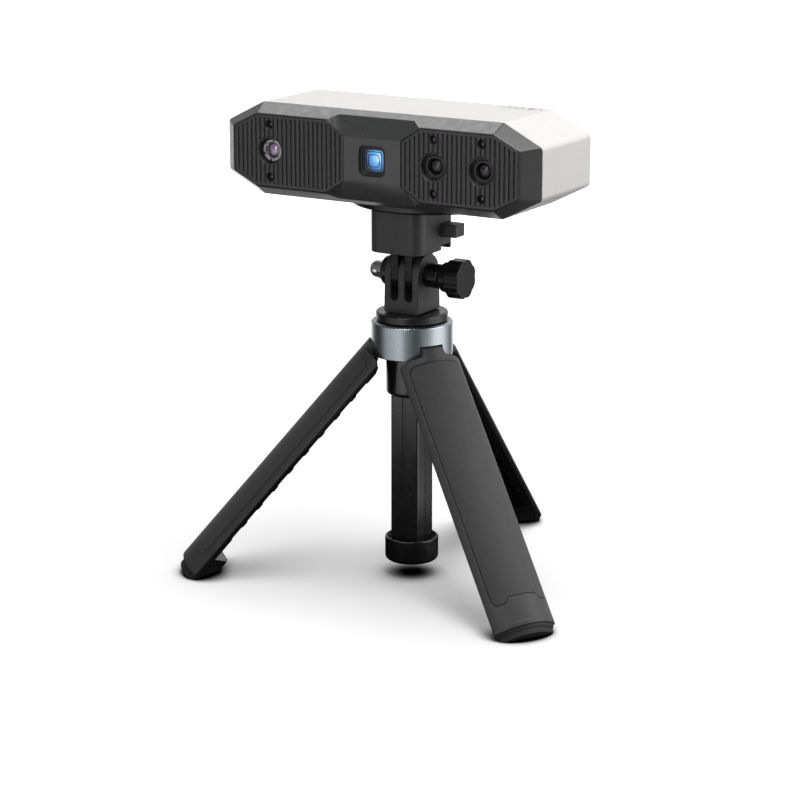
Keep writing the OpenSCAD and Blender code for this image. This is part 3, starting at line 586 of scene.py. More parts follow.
def front_bezel():
    back = rounded(octagon(HALF_W, END_Z, TOP_X, HALF_H), 1.6, 5)
    front = rounded(octagon(HALF_W - 6.5, END_Z - 0.95, TOP_X - 1, HALF_H - 4), 1.4, 5)
    lip = inset(front, 0.9)
    rings = [[(*p, SEAM_Y - 0.04) for p in inset(back, 0.3)], [(*p, SEAM_Y - 0.3) for p in back]]
    near = [Vector((*f, FRONT_Y)).lerp(Vector((*b, SEAM_Y - 0.3)), 0.13) for f, b in zip(front, back)]
    for k in range(6):
        t = k / 5
        rings.append([n * (1 - t) ** 2 + Vector((*f, FRONT_Y)) * 2 * t * (1 - t) + Vector((*e, FRONT_Y)) * t ** 2
                      for n, f, e in zip(near, front, lip)])
    body = moved(loft(rings), turn=UPRIGHT)
    tools = [wedge(1), wedge(-1)]
    hollow = slab(rounded(octagon(HALF_W - 5.8, 7.2, TOP_X - 2, HALF_H - 4.4), 1, 2), FLOOR_Y, SEAM_Y + 2, turn=UPRIGHT)
    tools.append(hollow)
    for s in (-1, 1):
        recess = slab(panel_outline(-0.05), FRONT_Y - 1, FRONT_Y + PANEL_DEPTH, turn=UPRIGHT)
        tools.append(moved(recess, turn=Matrix.Diagonal((s, 1, 1, 1))))
    tools.append(slab(rounded(rectangle(-WINDOW / 2, WINDOW / 2, -WINDOW / 2, WINDOW / 2), 2.6, 6),
                      FRONT_Y - 1, SEAM_Y + 2, turn=UPRIGHT))
    for x in CAMERA_XS:
        tools.append(bar(CAMERA_HOLE, FRONT_Y - 1, SEAM_Y + 2, (x, 0), UPRIGHT, steps=48))
        for z in (-FLASH_Z, FLASH_Z):
            tools.append(bar(FLASH_HOLE, FRONT_Y - 1, FLOOR_Y + 1, (x, z), UPRIGHT, steps=24))
    bezel = carved(body, *tools)
    posts = [bar(2.1, FLOOR_Y - 0.3, FRONT_Y + 10.54, (x, z), UPRIGHT, 0.2, 20)
             for x in (-36, 14.5, 37.3) for z in (-10, 10)]
    posts += [bar(2.4, FLOOR_Y - 0.3, BACK_Y - WALL, spot, UPRIGHT, 0.2, 20) for spot in SCREW_SPOTS]
    piece("front_bezel_frame", together(bezel, *posts), "front_bezel", at=HEAD, crease=28)


def groove_half(x):
    """Half the length of a groove, so that an even border stays round the panel."""
    return min(14.35, 9 + (x - FLAT_X) * 0.62, 9.1 + (63.9 - x) * 0.48) - 1.25


def grille(name, node, side, cameras):
    """Ribbed inlay: flat ribs between narrow grooves that have chamfered mouths."""
    face = FRONT_Y + 0.25
    plate = slab(panel_outline(0.22), face, FRONT_Y + PANEL_DEPTH, 0.18, 0, UPRIGHT, 2)
    grooves = []
    for i in range(24):
        x = FLAT_X + 1 + (i + 0.45) * RIB_PITCH
        half = groove_half(x)
        section = [(x - 0.5, face - 0.5), (x + 0.5, face - 0.5), (x + 0.5, face), (x + 0.28, face + 0.22),
                   (x + 0.28, face + 0.85), (x - 0.28, face + 0.85), (x - 0.28, face + 0.22), (x - 0.5, face)]
        grooves.append(slab(section, -half, half))
    mirror = Matrix.Diagonal((side, 1, 1, 1))
    plate = moved(plate, turn=mirror)
    tools = [moved(together(*grooves), turn=mirror)]
    for x in cameras:
        mouth = turned([(0, -1), (CAMERA_HOLE + 1.1, -1), (CAMERA_HOLE + 0.32, 0), (CAMERA_HOLE, 0.32),
                        (CAMERA_HOLE, 4), (0, 4)], 56)
        tools.append(moved(mouth, turn=Matrix.Translation((x, face, 0)) @ UPRIGHT))
        for z in (-FLASH_Z, FLASH_Z):
            eye = turned([(0, -1), (FLASH_HOLE + 0.8, -1), (FLASH_HOLE + 0.2, 0), (FLASH_HOLE, 0.2),
                          (FLASH_HOLE, 4), (0, 4)], 28)
            tools.append(moved(eye, turn=Matrix.Translation((x, face, z)) @ UPRIGHT))
    piece(name, carved(plate, *tools), node, at=HEAD)


def camera(side, x):
    """A lens barrel, notched on the left camera only, in a stepped sleeve, with its dome of glass."""
    start = FRONT_Y + 2.4
    place = Matrix.Translation((x, start, 0)) @ UPRIGHT
    teeth = [moved(slab(rectangle(2.9, 5, -0.42, 0.42), -1, 0.75), turn=Matrix.Rotation(math.tau * k / 6 + 0.35, 4, "Z"))
             for k in range(6)]
    threads = []
    for k in range(9):
        threads += [(4.35, 0.75 + k * 0.5), (4.18, 1.0 + k * 0.5)]
    barrel = turned([(3.35, 0), (4.2, 0), (4.35, 0.15)] + threads + [(4.35, 8.1), (1.6, 8.1), (1.6, 5.0), (2.55, 5.0),
                    (2.6, 1.4), (3.2, 0.2)], 56, bored=True)
    if side == "left":
        barrel = carved(barrel, together(*teeth))
    piece(side + "_barrel_ring", moved(barrel, turn=place), side + "_camera_barrel", at=HEAD)
    dome = [(2.5 * math.cos(math.radians(a)), 1.8 - 1.25 * math.sin(math.radians(a))) for a in range(0, 90, 10)]
    lens = turned([(0, 5), (2.5, 5)] + dome + [(0, 0.55)], 48)
    piece(side + "_lens_glass", moved(lens, turn=place), side + "_camera_lens", at=HEAD)
    sleeve = turned([(5.68, 1.0), (5.68, 6.6), (4.5, 6.6), (4.5, 2.6), (4.95, 2.6), (4.95, 1.7), (5.35, 1.7),
                     (5.35, 1.0)], 56, bored=True)
    place = Matrix.Translation((x, FRONT_Y, 0)) @ UPRIGHT
    piece(side + "_camera_sleeve", moved(sleeve, turn=place), at=HEAD, finish="black_plastic", body="head")
    lip = turned([(5.66, 0.42), (5.66, 1.5), (5.2, 1.5), (5.2, 0.95), (5.4, 0.5)], 56, bored=True)
    piece(side + "_camera_lip", moved(lip, turn=place), at=HEAD, finish="rib_panel", body="head")


def flash_lights():
    """Six small domes, each with a stepped rim, in a cup."""
    domes = []
    cups = []
    for x in CAMERA_XS:
        for z in (-FLASH_Z, FLASH_Z):
            place = Matrix.Translation((x, FLOOR_Y, z)) @ UPRIGHT
            arc = [(1.15 * math.cos(math.radians(a)), -0.9 - 1.25 * math.sin(math.radians(a))) for a in range(0, 90, 15)]
            domes.append(turned([(0, 0), (1.5, 0), (1.5, -0.7), (1.15, -0.9)] + arc[1:] + [(0, -2.15)], 24, turn=place))
            cups.append(turned([(1.84, 0), (1.84, -2.2), (1.55, -2.0), (1.5, -0.1)], 24, True, turn=place))
    piece("flash_domes", together(*domes), "flash_lights", at=HEAD)
    piece("flash_cups", together(*cups), at=HEAD, finish="black_plastic", body="head")


def projector():
    """Window in nested rounded steps, with the lit lens behind it."""
    def square(width, radius):
        return rounded(rectangle(-width / 2, width / 2, -width / 2, width / 2), radius, 6)

    steps = [(WINDOW - 0.1, 2.6, 0.25), (WINDOW - 1.0, 2.3, 0.25), (WINDOW - 1.2, 2.2, 0.7), (WINDOW - 2.2, 2.0, 0.7),
             (WINDOW - 2.4, 1.9, 1.2), (WINDOW - 3.4, 1.6, 1.2), (WINDOW - 3.6, 1.5, 1.8), (WINDOW - 3.6, 1.5, 2.5),
             (WINDOW - 5.0, 1.2, 2.5), (WINDOW - 5.4, 1.1, 3.0), (WINDOW - 5.4, 1.1, 4.0)]
    rings = [[(*p, FRONT_Y + 4.0) for p in square(WINDOW - 0.1, 2.6)]]
    rings += [[(*p, FRONT_Y + 0.35 + depth) for p in square(width, radius)] for width, radius, depth in steps]
    nest = moved(loft(rings + rings[:1], closed=False), turn=UPRIGHT)
    frames = []
    for width in (7.3, 5.0):
        section = [(width, 1.3, 1.5), (width, 1.3, 1.72), (width - 0.5, 1.1, 1.72), (width - 0.5, 1.1, 1.5)]
        loop = [[(*p, FRONT_Y + depth) for p in square(*size)] for *size, depth in section]
        frames.append(moved(loft(loop + loop[:1], closed=False), turn=UPRIGHT))
    piece("projector_steps", together(nest, *frames), "projector_frame", at=HEAD)
    glass = slab(square(WINDOW - 3.6, 1.5), FRONT_Y + 1.75, FRONT_Y + 2.15, 0.1, 0.1, UPRIGHT)
    piece("projector_glass", glass, "projector_window", at=HEAD)
    panes = [slab(square(3.2, 0.5), FRONT_Y + 2.6, FRONT_Y + 3.2, 0.2, 0.2, UPRIGHT)]
    dome = [(3.25 * math.cos(math.radians(a)), -2.0 - 1.5 * math.sin(math.radians(a))) for a in range(0, 90, 10)]
    lens = turned([(0, 0), (3.25, 0)] + dome + [(0, -3.5)], 48)
    lens = moved(lens, turn=Matrix.Translation((0, FRONT_Y + 9.5, 0)) @ UPRIGHT)
    piece("projector_light", together(lens, *panes), "projector_lens", at=HEAD)


def scan_button():
    """Pill-shaped key with a low rim and a generic dash and dot pattern."""
    low = HALF_H - WALL - 0.5
    key = slab(pill(17.6, 5.2), low, HALF_H + 0.02, 0, 0.45)
    flange = slab(pill(19.4, 6.8), low - 0.4, low + 0.4, 0.1, 0.1)
    spot = (BUTTON.x, BUTTON.y - HEAD.y, 0)
    piece("scan_key", moved(together(key, flange), by=spot), "scan_button", at=HEAD)
    marks = [slab(pill(1.1, 0.42, 4), 0, 0.05) for k in range(5)]
    marks = [moved(mark, by=(-5.2 + 1.5 * k, 0.8 * (-1) ** k, HALF_H + 0.0)) for k, mark in enumerate(marks)]
    ring = turned([(1.35, 0), (1.35, 0.05), (1.05, 0.05), (1.05, 0)], 32, True)
    marks.append(moved(ring, by=(5.2, 0, HALF_H)))
    marks.append(moved(slab(pill(0.9, 0.9, 6), 0, 0.05), by=(5.2, 0, HALF_H)))
    marks = moved(together(*marks), by=spot)
    piece("scan_key_marks", marks, at=HEAD, finish="black_plastic", body="button")


def screw_head(radius, height):
    """Low domed head with a crossed recess, its flat underside at height 0."""
    arc = [(radius * math.cos(math.radians(a)), height * (0.45 + 0.55 * math.sin(math.radians(a))))
           for a in range(0, 90, 15)]
    head = turned([(0, 0), (radius, 0)] + arc + [(0, height)], 28)
    slots = [slab(rectangle(-radius * 0.55, radius * 0.55, -0.2, 0.2), height * 0.45, height + 1)]
    slots.append(slab(rectangle(-0.2, 0.2, -radius * 0.55, radius * 0.55), height * 0.45, height + 1))
    return carved(head, *slots)


def housing_screws():
    screws = []
    for x, z in SCREW_SPOTS:
        place = Matrix.Translation((x, BACK_Y - 1.2, z)) @ UPRIGHT
        screws.append(moved(screw_head(2.1, 1.15), turn=place))
        screws.append(bar(1.0, BACK_Y - 9.2, BACK_Y - 1.1, (x, z), UPRIGHT, 0.15, 16))
    piece("rear_screws", together(*screws), "housing_screws", at=HEAD)


def base_plate():
    """Lens-shaped foot of the head, between two large arcs, with a rounded rim."""
    low, high = span("base_plate")
    reach, radius = high.x, 33.2
    half = math.asin(reach / radius)
    bow = [(radius * math.sin(half * t), radius * math.cos(half * t)) for t in [k / 12 for k in range(-12, 13)]]
    shift = (high.y - low.y) / 2 - radius
    outline = [(x, y + shift) for x, y in bow] + [(-x, -y - shift) for x, y in bow]
    plate = slab(inset(outline, 0.02), low.z, high.z - 0.02, 0.9, 0.5, steps=4)
    bore = bar(4.56, low.z - 1, high.z + 1)
    piece("base_plate_disc", moved(carved(plate, bore), by=(0, POLE.y, 0)), "base_plate")


rear_housing()
front_bezel()
grille("left_rib_panel", "left_grille", -1, [CAMERA_XS[0]])
grille("right_rib_panel", "right_grille", 1, CAMERA_XS[1:])
for camera_side, camera_x in zip(("left", "middle", "right"), CAMERA_XS):
    camera(camera_side, camera_x)
flash_lights()
projector()
scan_button()
housing_screws()
base_plate()


# ---- adapter, clevis and clamp, drawn round the pivot; X right, Y back, Z up ----

CLAMP = Vector((0, PIVOT.y, PIVOT.z))
ADAPTER_LOW = 10.0
ADAPTER_HIGH = span("base_plate")[0].z - PIVOT.z
ADAPTER_SIDE = span("adapter_block")[1].x
ADAPTER_FRONT = span("adapter_block")[0].y - PIVOT.y
ADAPTER_BACK = span("adapter_block")[1].y - PIVOT.y
PRONG_R = 8.4
CLEVIS_HALF = 7.7
CLEVIS_R = 8.6
CLEVIS_LOW = span("clevis")[0].z - PIVOT.z
SLOT_IN, SLOT_OUT = 1.45, 4.95


def tongue(radius, low, high, x0, x1, edge=0.35):
    """A plate across X, round at the pivot and running straight to a height above or below it."""
    arc = [(radius * math.cos(math.radians(a)), radius * math.sin(math.radians(a))) for a in range(0, 181, 6)]
    outline = arc + [(-radius, low), (radius, low)] if low < 0 else \
        [(y, -z) for y, z in arc] + [(-radius, high), (radius, high)]
    return slab(outline, x0, x1, edge, edge, SIDEWAYS, 2)


def adapter_block():
    """Body with rounded front corners, dovetail slot, latch pocket and a channel across its underside."""
    corners = rectangle(-ADAPTER_SIDE, ADAPTER_SIDE, ADAPTER_FRONT, ADAPTER_BACK)
    body = slab(rounded(corners, [5.5, 5.5, 2, 2], 10), ADAPTER_LOW, ADAPTER_HIGH - 0.03, 0.45, 0.25)
    latch_low, latch_high = (edge - CLAMP for edge in span("latch_lever"))
    dovetail = [(-8.1, ADAPTER_HIGH - 5.2), (8.1, ADAPTER_HIGH - 5.2), (6.2, ADAPTER_HIGH + 1), (-6.2, ADAPTER_HIGH + 1)]
    tools = [block(-20, 20, 2, 8.9, ADAPTER_LOW - 2, ADAPTER_LOW + 2.05, 0, 0),
             slab(dovetail, -10.1, 20, turn=UPRIGHT),
             block(-10.6, 20, latch_low.y - 0.12, latch_high.y + 0.12, latch_low.z - 0.12, latch_low.z + 5.32, 0.2, 0)]
    tools.append(block(-10.6, -3, 1.3, 9.0, latch_low.z + 5, latch_low.z + 6, 0, 0))
    tools.append(block(-10.6, -6, 1.3, 9.0, latch_low.z + 5, latch_low.z + 7.4, 0, 0))
    prongs = [tongue(PRONG_R, 1, ADAPTER_LOW + 2.5, *sorted((s * 1.55, s * 4.85))) for s in (-1, 1)]
    piece("adapter_body", carved(body, *tools), "adapter_block", at=CLAMP)
    piece("adapter_prongs", together(*prongs), at=CLAMP, finish="knob_black", body=body_of["adapter_block"])


def latch_lever():
    low, high = (edge - CLAMP for edge in span("latch_lever"))
    top = low.z + 5.2
    parts = [block(-4, high.x, low.y, high.y, low.z, top, 0.7, 0.5)]
    for y in (low.y, high.y - 1.4):
        parts.append(block(low.x, -3.8, y, y + 1.4, low.z, top, 0.2, 0.2))
        parts.append(block(low.x, low.x + 1.5, y, y + 1.4, top - 0.2, high.z, 0.2, 0.2))
    grips = [block(high.x - 4.2 + 1.1 * k, high.x - 3.8 + 1.1 * k, low.y + 1, high.y - 1, top - 0.1, top + 0.1, 0.1, 0.05)
             for k in range(3)]
    piece("latch_key", together(*parts, *grips), "latch_lever", at=CLAMP, finish="grip_plastic")


def latch_spring():
    """Coil behind the key, drawn at one length; the real coil shortens towards its fixed end as the key is pressed."""
    low, high = span("latch_spring")
    centre = (low + high) / 2
    wire = 0.25
    reach = (high.z - low.z) / 2 - wire
    start, length = low.x + wire, high.x - low.x - 2 * wire
    rings = []
    for k in range(6 * 16 + 1):
        angle = math.tau * k / 16
        out = Vector((0, math.cos(angle), math.sin(angle)))
        spot = Vector((start + length * k / 96, centre.y, centre.z)) + out * reach
        rings.append([spot + (out * math.cos(a) + X * math.sin(a)) * wire
                      for a in (math.tau * j / 8 for j in range(8))])
    coil = piece("latch_coil", loft(rings), "latch_spring")
    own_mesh(coil)


def clevis():
    """Three rounded fingers on a slightly flared foot."""
    form = tongue(CLEVIS_R, CLEVIS_LOW, 0, -CLEVIS_HALF, CLEVIS_HALF, 0.45)
    tools = [bar(2.56, -12, 12, turn=SIDEWAYS)]
    for s in (-1, 1):
        x0, x1 = sorted((s * SLOT_IN, s * SLOT_OUT))
        tools.append(slab(rounded(rectangle(x0, x1, -8.3 - 1.75, 12), [1.74, 1.74, 0, 0], 8), -12, 12, turn=UPRIGHT))
        mouth = slab(rounded(rectangle(x0 - 0.4, x1 + 0.4, -8.3 - 2.15, 12), [2.14, 2.14, 0, 0], 8),
                     -CLEVIS_R - 1, -CLEVIS_R + 0.3, high_edge=0.29, turn=UPRIGHT)
        tools.append(mouth)
    form = carved(form, *tools)
    for vert in form.verts:
        share = min(max(-vert.co.z / -CLEVIS_LOW, 0), 1) ** 2
        groove = 0.94 if vert.co.z < CLEVIS_LOW + 0.3 else 1
        vert.co.x *= (1 + 0.03 * share) * groove
        vert.co.y *= (1 + 0.03 * share) * groove
    piece("clevis_fingers", form, "clevis", at=CLAMP)


def pole_head():
    low, high = span("pole_head")
    radius = high.x
    profile = [(0, low.z), (radius - 0.5, low.z), (radius, low.z + 0.5)]
    for a in range(0, 91, 15):
        profile.append((radius - 0.8 + 0.8 * math.cos(math.radians(a)), high.z - 0.8 + 0.8 * math.sin(math.radians(a))))
    profile += [(radius - 2.6, high.z), (radius - 2.9, high.z - 0.12), (0, high.z - 0.12)]
    piece("pole_head_disc", turned(profile, 96), "pole_head", at=(0, POLE.y, 0))


def clamp_knob():
    """Stepped neck and a head with eight shallow finger hollows."""
    end = span("clamp_knob")[1].x
    hollows = []
    for k in range(96):
        angle = math.tau * k / 96
        radius = 8 - 0.55 * (0.5 + 0.5 * math.cos(8 * angle)) ** 1.4
        hollows.append((radius * math.cos(angle), radius * math.sin(angle)))
    head = slab(hollows, 18, end, 1.0, 0.5, SIDEWAYS, 4)
    neck = turned([(0, 7.9), (4.5, 7.9), (4.9, 8.3), (4.9, 13.5), (4.6, 14.0), (4.3, 14.2), (4.3, 14.9), (5.6, 15.0),
                   (6, 15.4), (6, 17.4), (6.4, 18.2), (6.4, 19), (0, 19)], 64, turn=SIDEWAYS)
    dish = turned([(5.6, end + 0.02), (5.75, end - 0.03), (5.9, end + 0.02)], 64, True, SIDEWAYS)
    piece("clamp_knob_head", together(head, neck, dish), "clamp_knob", at=CLAMP)


def nut_side():
    """Cup on the far side of the clevis, with the domed nut in it."""
    face = -CLEVIS_HALF
    cup = [(2.6, face), (6.1, face), (6.1, face - 2.6)]
    for a in range(0, 91, 15):
        cup.append((4.9 + 1.2 * math.cos(math.radians(a)), face - 3.0 - 1.2 * math.sin(math.radians(a))))
    cup += [(4.3, face - 4.2), (4.2, face - 3.8), (2.6, face - 3.8)]
    piece("nut_cup_shell", turned(cup, 64, True, SIDEWAYS), "nut_cup", at=CLAMP)
    start = face - 4.2
    six = [(4 * math.cos(math.tau * k / 6), 4 * math.sin(math.tau * k / 6)) for k in range(6)]
    hexagon = slab(rounded(six, 0.25, 2), start - 2.6, start, 0.35, 0.1, SIDEWAYS, 2)
    dome = [(0, start - 1), (3.7, start - 1), (3.7, start - 3.4)]
    for a in range(10, 91, 10):
        dome.append((3.7 * math.cos(math.radians(a)), start - 3.6 - 3.7 * math.sin(math.radians(a))))
    piece("domed_nut", together(hexagon, turned(dome, 48, turn=SIDEWAYS)), "acorn_nut", at=CLAMP)


# ---- hub and pole, drawn round the pole; heights from the ground ----

AXIS = Vector((0, POLE.y, 0))
LEG_TURNS = {"front_left": math.radians(-150), "front_right": math.radians(-30), "rear": math.radians(90)}


def hub_ring():
    """Turned ring with a chamfered top, notched where the three legs swing."""
    low, high = span("hub_ring")
    radius = high.x
    profile = [(radius - 1.2, low.z + 0.1), (radius - 1.0, low.z), (radius - 0.25, low.z), (radius, low.z + 0.25),
               (radius, high.z - 0.75), (radius - 0.12, high.z - 0.5), (radius - 0.75, high.z - 0.05),
               (radius - 1.0, high.z), (14.8, high.z), (14.6, high.z - 0.3), (11, high.z - 0.3), (11, high.z - 1.4),
               (radius - 1.2, high.z - 1.4)]
    notches = []
    for angle in LEG_TURNS.values():
        notch = slab(rounded(rectangle(-5.3, 5.3, low.z - 3, HINGE_Z + 0.8), 0.9, 4), 13, 19, turn=SIDEWAYS)
        notches.append(moved(notch, turn=Matrix.Rotation(angle, 4, "Z")))
    piece("hub_ring_band", carved(turned(profile, 128, True), *notches), "hub_ring", at=AXIS, crease=25)


def grooved_square(width, groove, corner):
    """Outline of a square tube with a groove down the middle of each side."""
    half = width / 2
    side = [(-half, -half), (-0.75, -half), (-0.6, -half + groove), (0.6, -half + groove), (0.75, -half)]
    points = []
    radii = []
    for k in range(4):
        c, s = ((1, 0), (0, 1), (-1, 0), (0, -1))[k]
        points += [(x * c - y * s, x * s + y * c) for x, y in side]
        radii += [corner, 0, 0, 0, 0]
    return rounded(points, radii, 5)


def tube(name, node, groove):
    low, high = span(node)
    width = high.x - low.x
    outer = slab(grooved_square(width, groove, 0.9), low.z, high.z)
    inner = slab(rectangle(*(s * (width / 2 - 0.8) for s in (-1, 1, -1, 1))), low.z - 1, high.z + 1)
    piece(name, carved(outer, inner), node, at=AXIS, crease=20)


def barrel_ends():
    """Collar under the hub, and the cup at the foot of the pole."""
    bore = span("pole_barrel")[1].x + 0.05
    square = rectangle(-bore, bore, -bore, bore)
    low, high = span("barrel_collar")
    collar = [(0, high.z), (10.5, high.z), (10.35, low.z + 2.0)]
    for a in range(0, 91, 15):
        collar.append((8.85 + 1.5 * math.cos(math.radians(a)), low.z + 1.5 - 1.5 * math.sin(math.radians(a))))
    collar.append((0, low.z))
    collar = carved(turned(collar, 96), slab(square, low.z - 1, high.z + 1))
    piece("barrel_collar_sleeve", collar, "barrel_collar", at=AXIS)
    low, high = span("barrel_cap")
    radius = high.x
    cup = [(0, low.z), (radius - 1.9, low.z)]
    for a in range(15, 91, 15):
        cup.append((radius - 1.9 + 1.9 * math.sin(math.radians(a)), low.z + 1.9 - 1.9 * math.cos(math.radians(a))))
    cup += [(radius, high.z - 0.45), (radius - 0.15, high.z - 0.12), (radius - 0.45, high.z), (radius - 0.75, high.z - 0.1),
            (radius - 0.9, high.z - 0.4), (radius - 0.95, high.z - 1.8), (0, high.z - 1.8)]
    cup = carved(turned(cup, 96), slab(square, low.z + 4, high.z + 1))
    piece("barrel_cap_cup", cup, "barrel_cap", at=AXIS)


adapter_block()
latch_lever()
latch_spring()
clevis()
pole_head()
clamp_knob()
nut_side()
hub_ring()
tube("pole_barrel_tube", "pole_barrel", 0.3)
tube("pole_middle_tube", "pole_middle", 0.2)
tube("pole_inner_tube", "pole_inner", 0.2)
barrel_ends()


# ---- legs, drawn folded round the pole with the hinge at height 0 ----

LEG_R = span("hub_ring")[1].x
LEG_WALL = 1.8
LEG_HALF = 57.5
LEG_TOP = -5.65
LEG_END = -123.2
INNER_R = 11.4
FLOOR_Z = -112.5
INLAY_HALF = 45
INLAY_TOP = -8.8
INLAY_END = -111.8
SOLE_R = 9.5
REACH = 125.5
FOOT_R = LEG_R - 1.6
TAB_HALF = 4.9
RIBS = [-14 - i * (REACH - 32) / 9.5 for i in range(10)]


def arc_length(degrees):
    return math.radians(degrees) * LEG_R


def wrapped(outline, low, high, low_edge=0.0, high_edge=0.0, steps=3):
    """A flat plate bent round the pole: outline in arc length and height, low and high are radii."""
    form = slab(outline, low, high, low_edge, high_edge, steps=steps)
    reach = arc_length(LEG_HALF)
    for k in range(1, 34):
        bmesh.ops.bisect_plane(form, geom=form.verts[:] + form.edges[:] + form.faces[:],
                               plane_co=(reach * (k / 17 - 1), 0, 0), plane_no=X)
    for vert in form.verts:
        angle = vert.co.x / LEG_R
        vert.co = (vert.co.z * math.cos(angle), vert.co.z * math.sin(angle), vert.co.y)
    return outward(form)


def arc_piece(outline, half):
    """Part of a ring from -half to half degrees, from an outline of (radius, height) points."""
    rings = []
    for k in range(25):
        angle = math.radians(half * (k / 12 - 1))
        rings.append([(r * math.cos(angle), r * math.sin(angle), z) for r, z in outline])
    return loft(rings)


def inlay_outline(gap):
    """Rounded soft inlay whose lower edge steps up in the middle."""
    side = arc_length(INLAY_HALF) + gap
    left, right = arc_length(-23), arc_length(24)
    low = INLAY_END - gap
    step = low + 2.1
    corners = [(-side, low), (left - 1.0, low), (left + 0.4, step), (right - 0.4, step), (right + 1.0, low),
               (side, low), (side, INLAY_TOP + gap), (-side, INLAY_TOP + gap)]
    return rounded(corners, [2.6, 0.8, 1.2, 1.2, 0.8, 1.6, 3, 3], 6)


def side_wall():
    """Flange along a leg's edge, scalloped between the ribs."""
    points = [(LEG_R - LEG_WALL + 0.3, LEG_TOP - 1.0), (LEG_R - LEG_WALL + 0.3, FLOOR_Z), (INNER_R, FLOOR_Z)]
    radii = [0, 0, 0]
    for upper, lower in list(zip(RIBS, RIBS[1:]))[::-1]:
        gap = (upper - lower) * 0.2
        points += [(INNER_R, lower + gap * 0.6), (INNER_R + 0.9, lower + gap), (INNER_R + 0.9, upper - gap),
                   (INNER_R, upper - gap * 0.6)]
        radii += [0.3, 0.4, 0.4, 0.3]
    points += [(INNER_R, LEG_TOP - 4.5), (INNER_R + 2.2, LEG_TOP - 1.6)]
    radii += [2, 0.8]
    form = slab(rounded(points, radii, 3), -1.3, 0, 0.25, 0.05, UPRIGHT, 2)
    return form


def leg_shell():
    """Curved outer plate with its hinge tab, the recess for the inlay, and the bevelled end."""
    side = arc_length(LEG_HALF)
    corners = [(-side, LEG_END + 1.2), (side, LEG_END + 1.2), (side, LEG_TOP), (TAB_HALF, LEG_TOP),
               (TAB_HALF, -2.7), (-TAB_HALF, -2.7), (-TAB_HALF, LEG_TOP), (-side, LEG_TOP)]
    outline = rounded(corners, [0.4, 0.4, 2.6, 1.2, 0.5, 0.5, 1.2, 2.6], 6)
    plate = wrapped(outline, LEG_R - LEG_WALL, LEG_R, 0.1, 0.45)
    recess = wrapped(inlay_outline(0.16), LEG_R - 1.04, LEG_R + 1)
    lip = wrapped(inlay_outline(0.42), LEG_R - 0.16, LEG_R + 1, 0.15)
    plate = carved(plate, recess, lip)
    end = arc_piece([(LEG_R - 3.2, LEG_END + 0.1), (LEG_R - 1.45, LEG_END), (LEG_R - 1.2, LEG_END + 0.2),
                     (LEG_R - 0.05, LEG_END + 2.4), (LEG_R, LEG_END + 2.9), (LEG_R - 0.3, LEG_END + 3.6),
                     (LEG_R - 1.2, LEG_END + 5), (LEG_R - 2, LEG_END + 5)], LEG_HALF)
    knuckle = rounded([(11, -9), (LEG_R - 1.2, -9), (LEG_R - 1.2, -2.9), (15, -2.7), (HINGE_R + 1.85, 0),
                       (HINGE_R + 1.0, 1.7), (HINGE_R - 1.0, 1.7), (11, 0)], [0.5, 0, 0, 0.4, 0.6, 0.8, 0.8, 0.6], 4)
    knuckle = slab(knuckle, -TAB_HALF, TAB_HALF, 0.3, 0.3, UPRIGHT, 2)
    return together(plate, end, carved(knuckle, bar(1.05, -9, 9, (HINGE_R, 0), UPRIGHT)))


def leg_ribs():
    """Inside of a leg: two scalloped flanges, cross ribs, a spine, and a floor over the foot."""
    parts = []
    for s in (-1, 1):
        wall = side_wall() if s > 0 else moved(side_wall(), turn=Matrix.Diagonal((1, -1, 1, 1)))
        parts.append(moved(wall, turn=Matrix.Rotation(s * math.radians(LEG_HALF - 0.2), 4, "Z")))
    for height in RIBS:
        parts.append(arc_piece([(INNER_R + 0.6, height - 1.4), (LEG_R - LEG_WALL + 0.3, height - 1.4),
                                (LEG_R - LEG_WALL + 0.3, height), (INNER_R + 0.6, height)], LEG_HALF - 3))
    spine = slab(rectangle(INNER_R + 1.2, LEG_R - LEG_WALL + 0.3, FLOOR_Z, RIBS[0]), -0.6, 0.6, turn=UPRIGHT)
    parts.append(spine)
    parts.append(arc_piece([(1.2, FLOOR_Z - 3), (LEG_R - LEG_WALL + 0.3, FLOOR_Z - 3), (LEG_R - LEG_WALL + 0.3, FLOOR_Z),
                            (1.6, FLOOR_Z), (1.2, FLOOR_Z - 0.4)], LEG_HALF - 0.3))
    return together(*parts)


def sole_cut(form, clearance=0.0):
    """Cuts a foot level with the ground of the open leg."""
    normal = Vector((-math.sin(OPEN), 0, -math.cos(OPEN)))
    return sliced(form, Vector((SOLE_R, 0, -REACH)) + normal * clearance, normal)


def leg_foot():
    """Rubber foot with a rounded, lens-shaped sole."""
    half = math.radians(LEG_HALF - 0.5)
    corners = [(1.2 * math.cos(half), -1.2 * math.sin(half)), (FOOT_R * math.cos(half), -FOOT_R * math.sin(half))]
    arc = [(FOOT_R * math.cos(half * t), FOOT_R * math.sin(half * t)) for t in [k / 12 for k in range(-12, 13)]]
    outline = [corners[0]] + arc + [(corners[0][0], -corners[0][1])]
    form = sole_cut(slab(inset(outline, 0.05), -REACH, FLOOR_Z - 3.02))
    normal = Vector((-math.sin(OPEN), 0, -math.cos(OPEN)))
    ground = Vector((SOLE_R, 0, -REACH))
    soften(form, 0.7, lambda co: abs((co - ground).dot(normal)) < 0.02, 3)
    return form


def leg_place(turn):
    """Takes the folded leg to where it stands open."""
    out = Matrix.Translation((HINGE_R, 0, 0)) @ Matrix.Rotation(-OPEN, 4, "Y") @ Matrix.Translation((-HINGE_R, 0, 0))
    return Matrix.Translation((0, POLE.y, HINGE_Z)) @ Matrix.Rotation(turn, 4, "Z") @ out


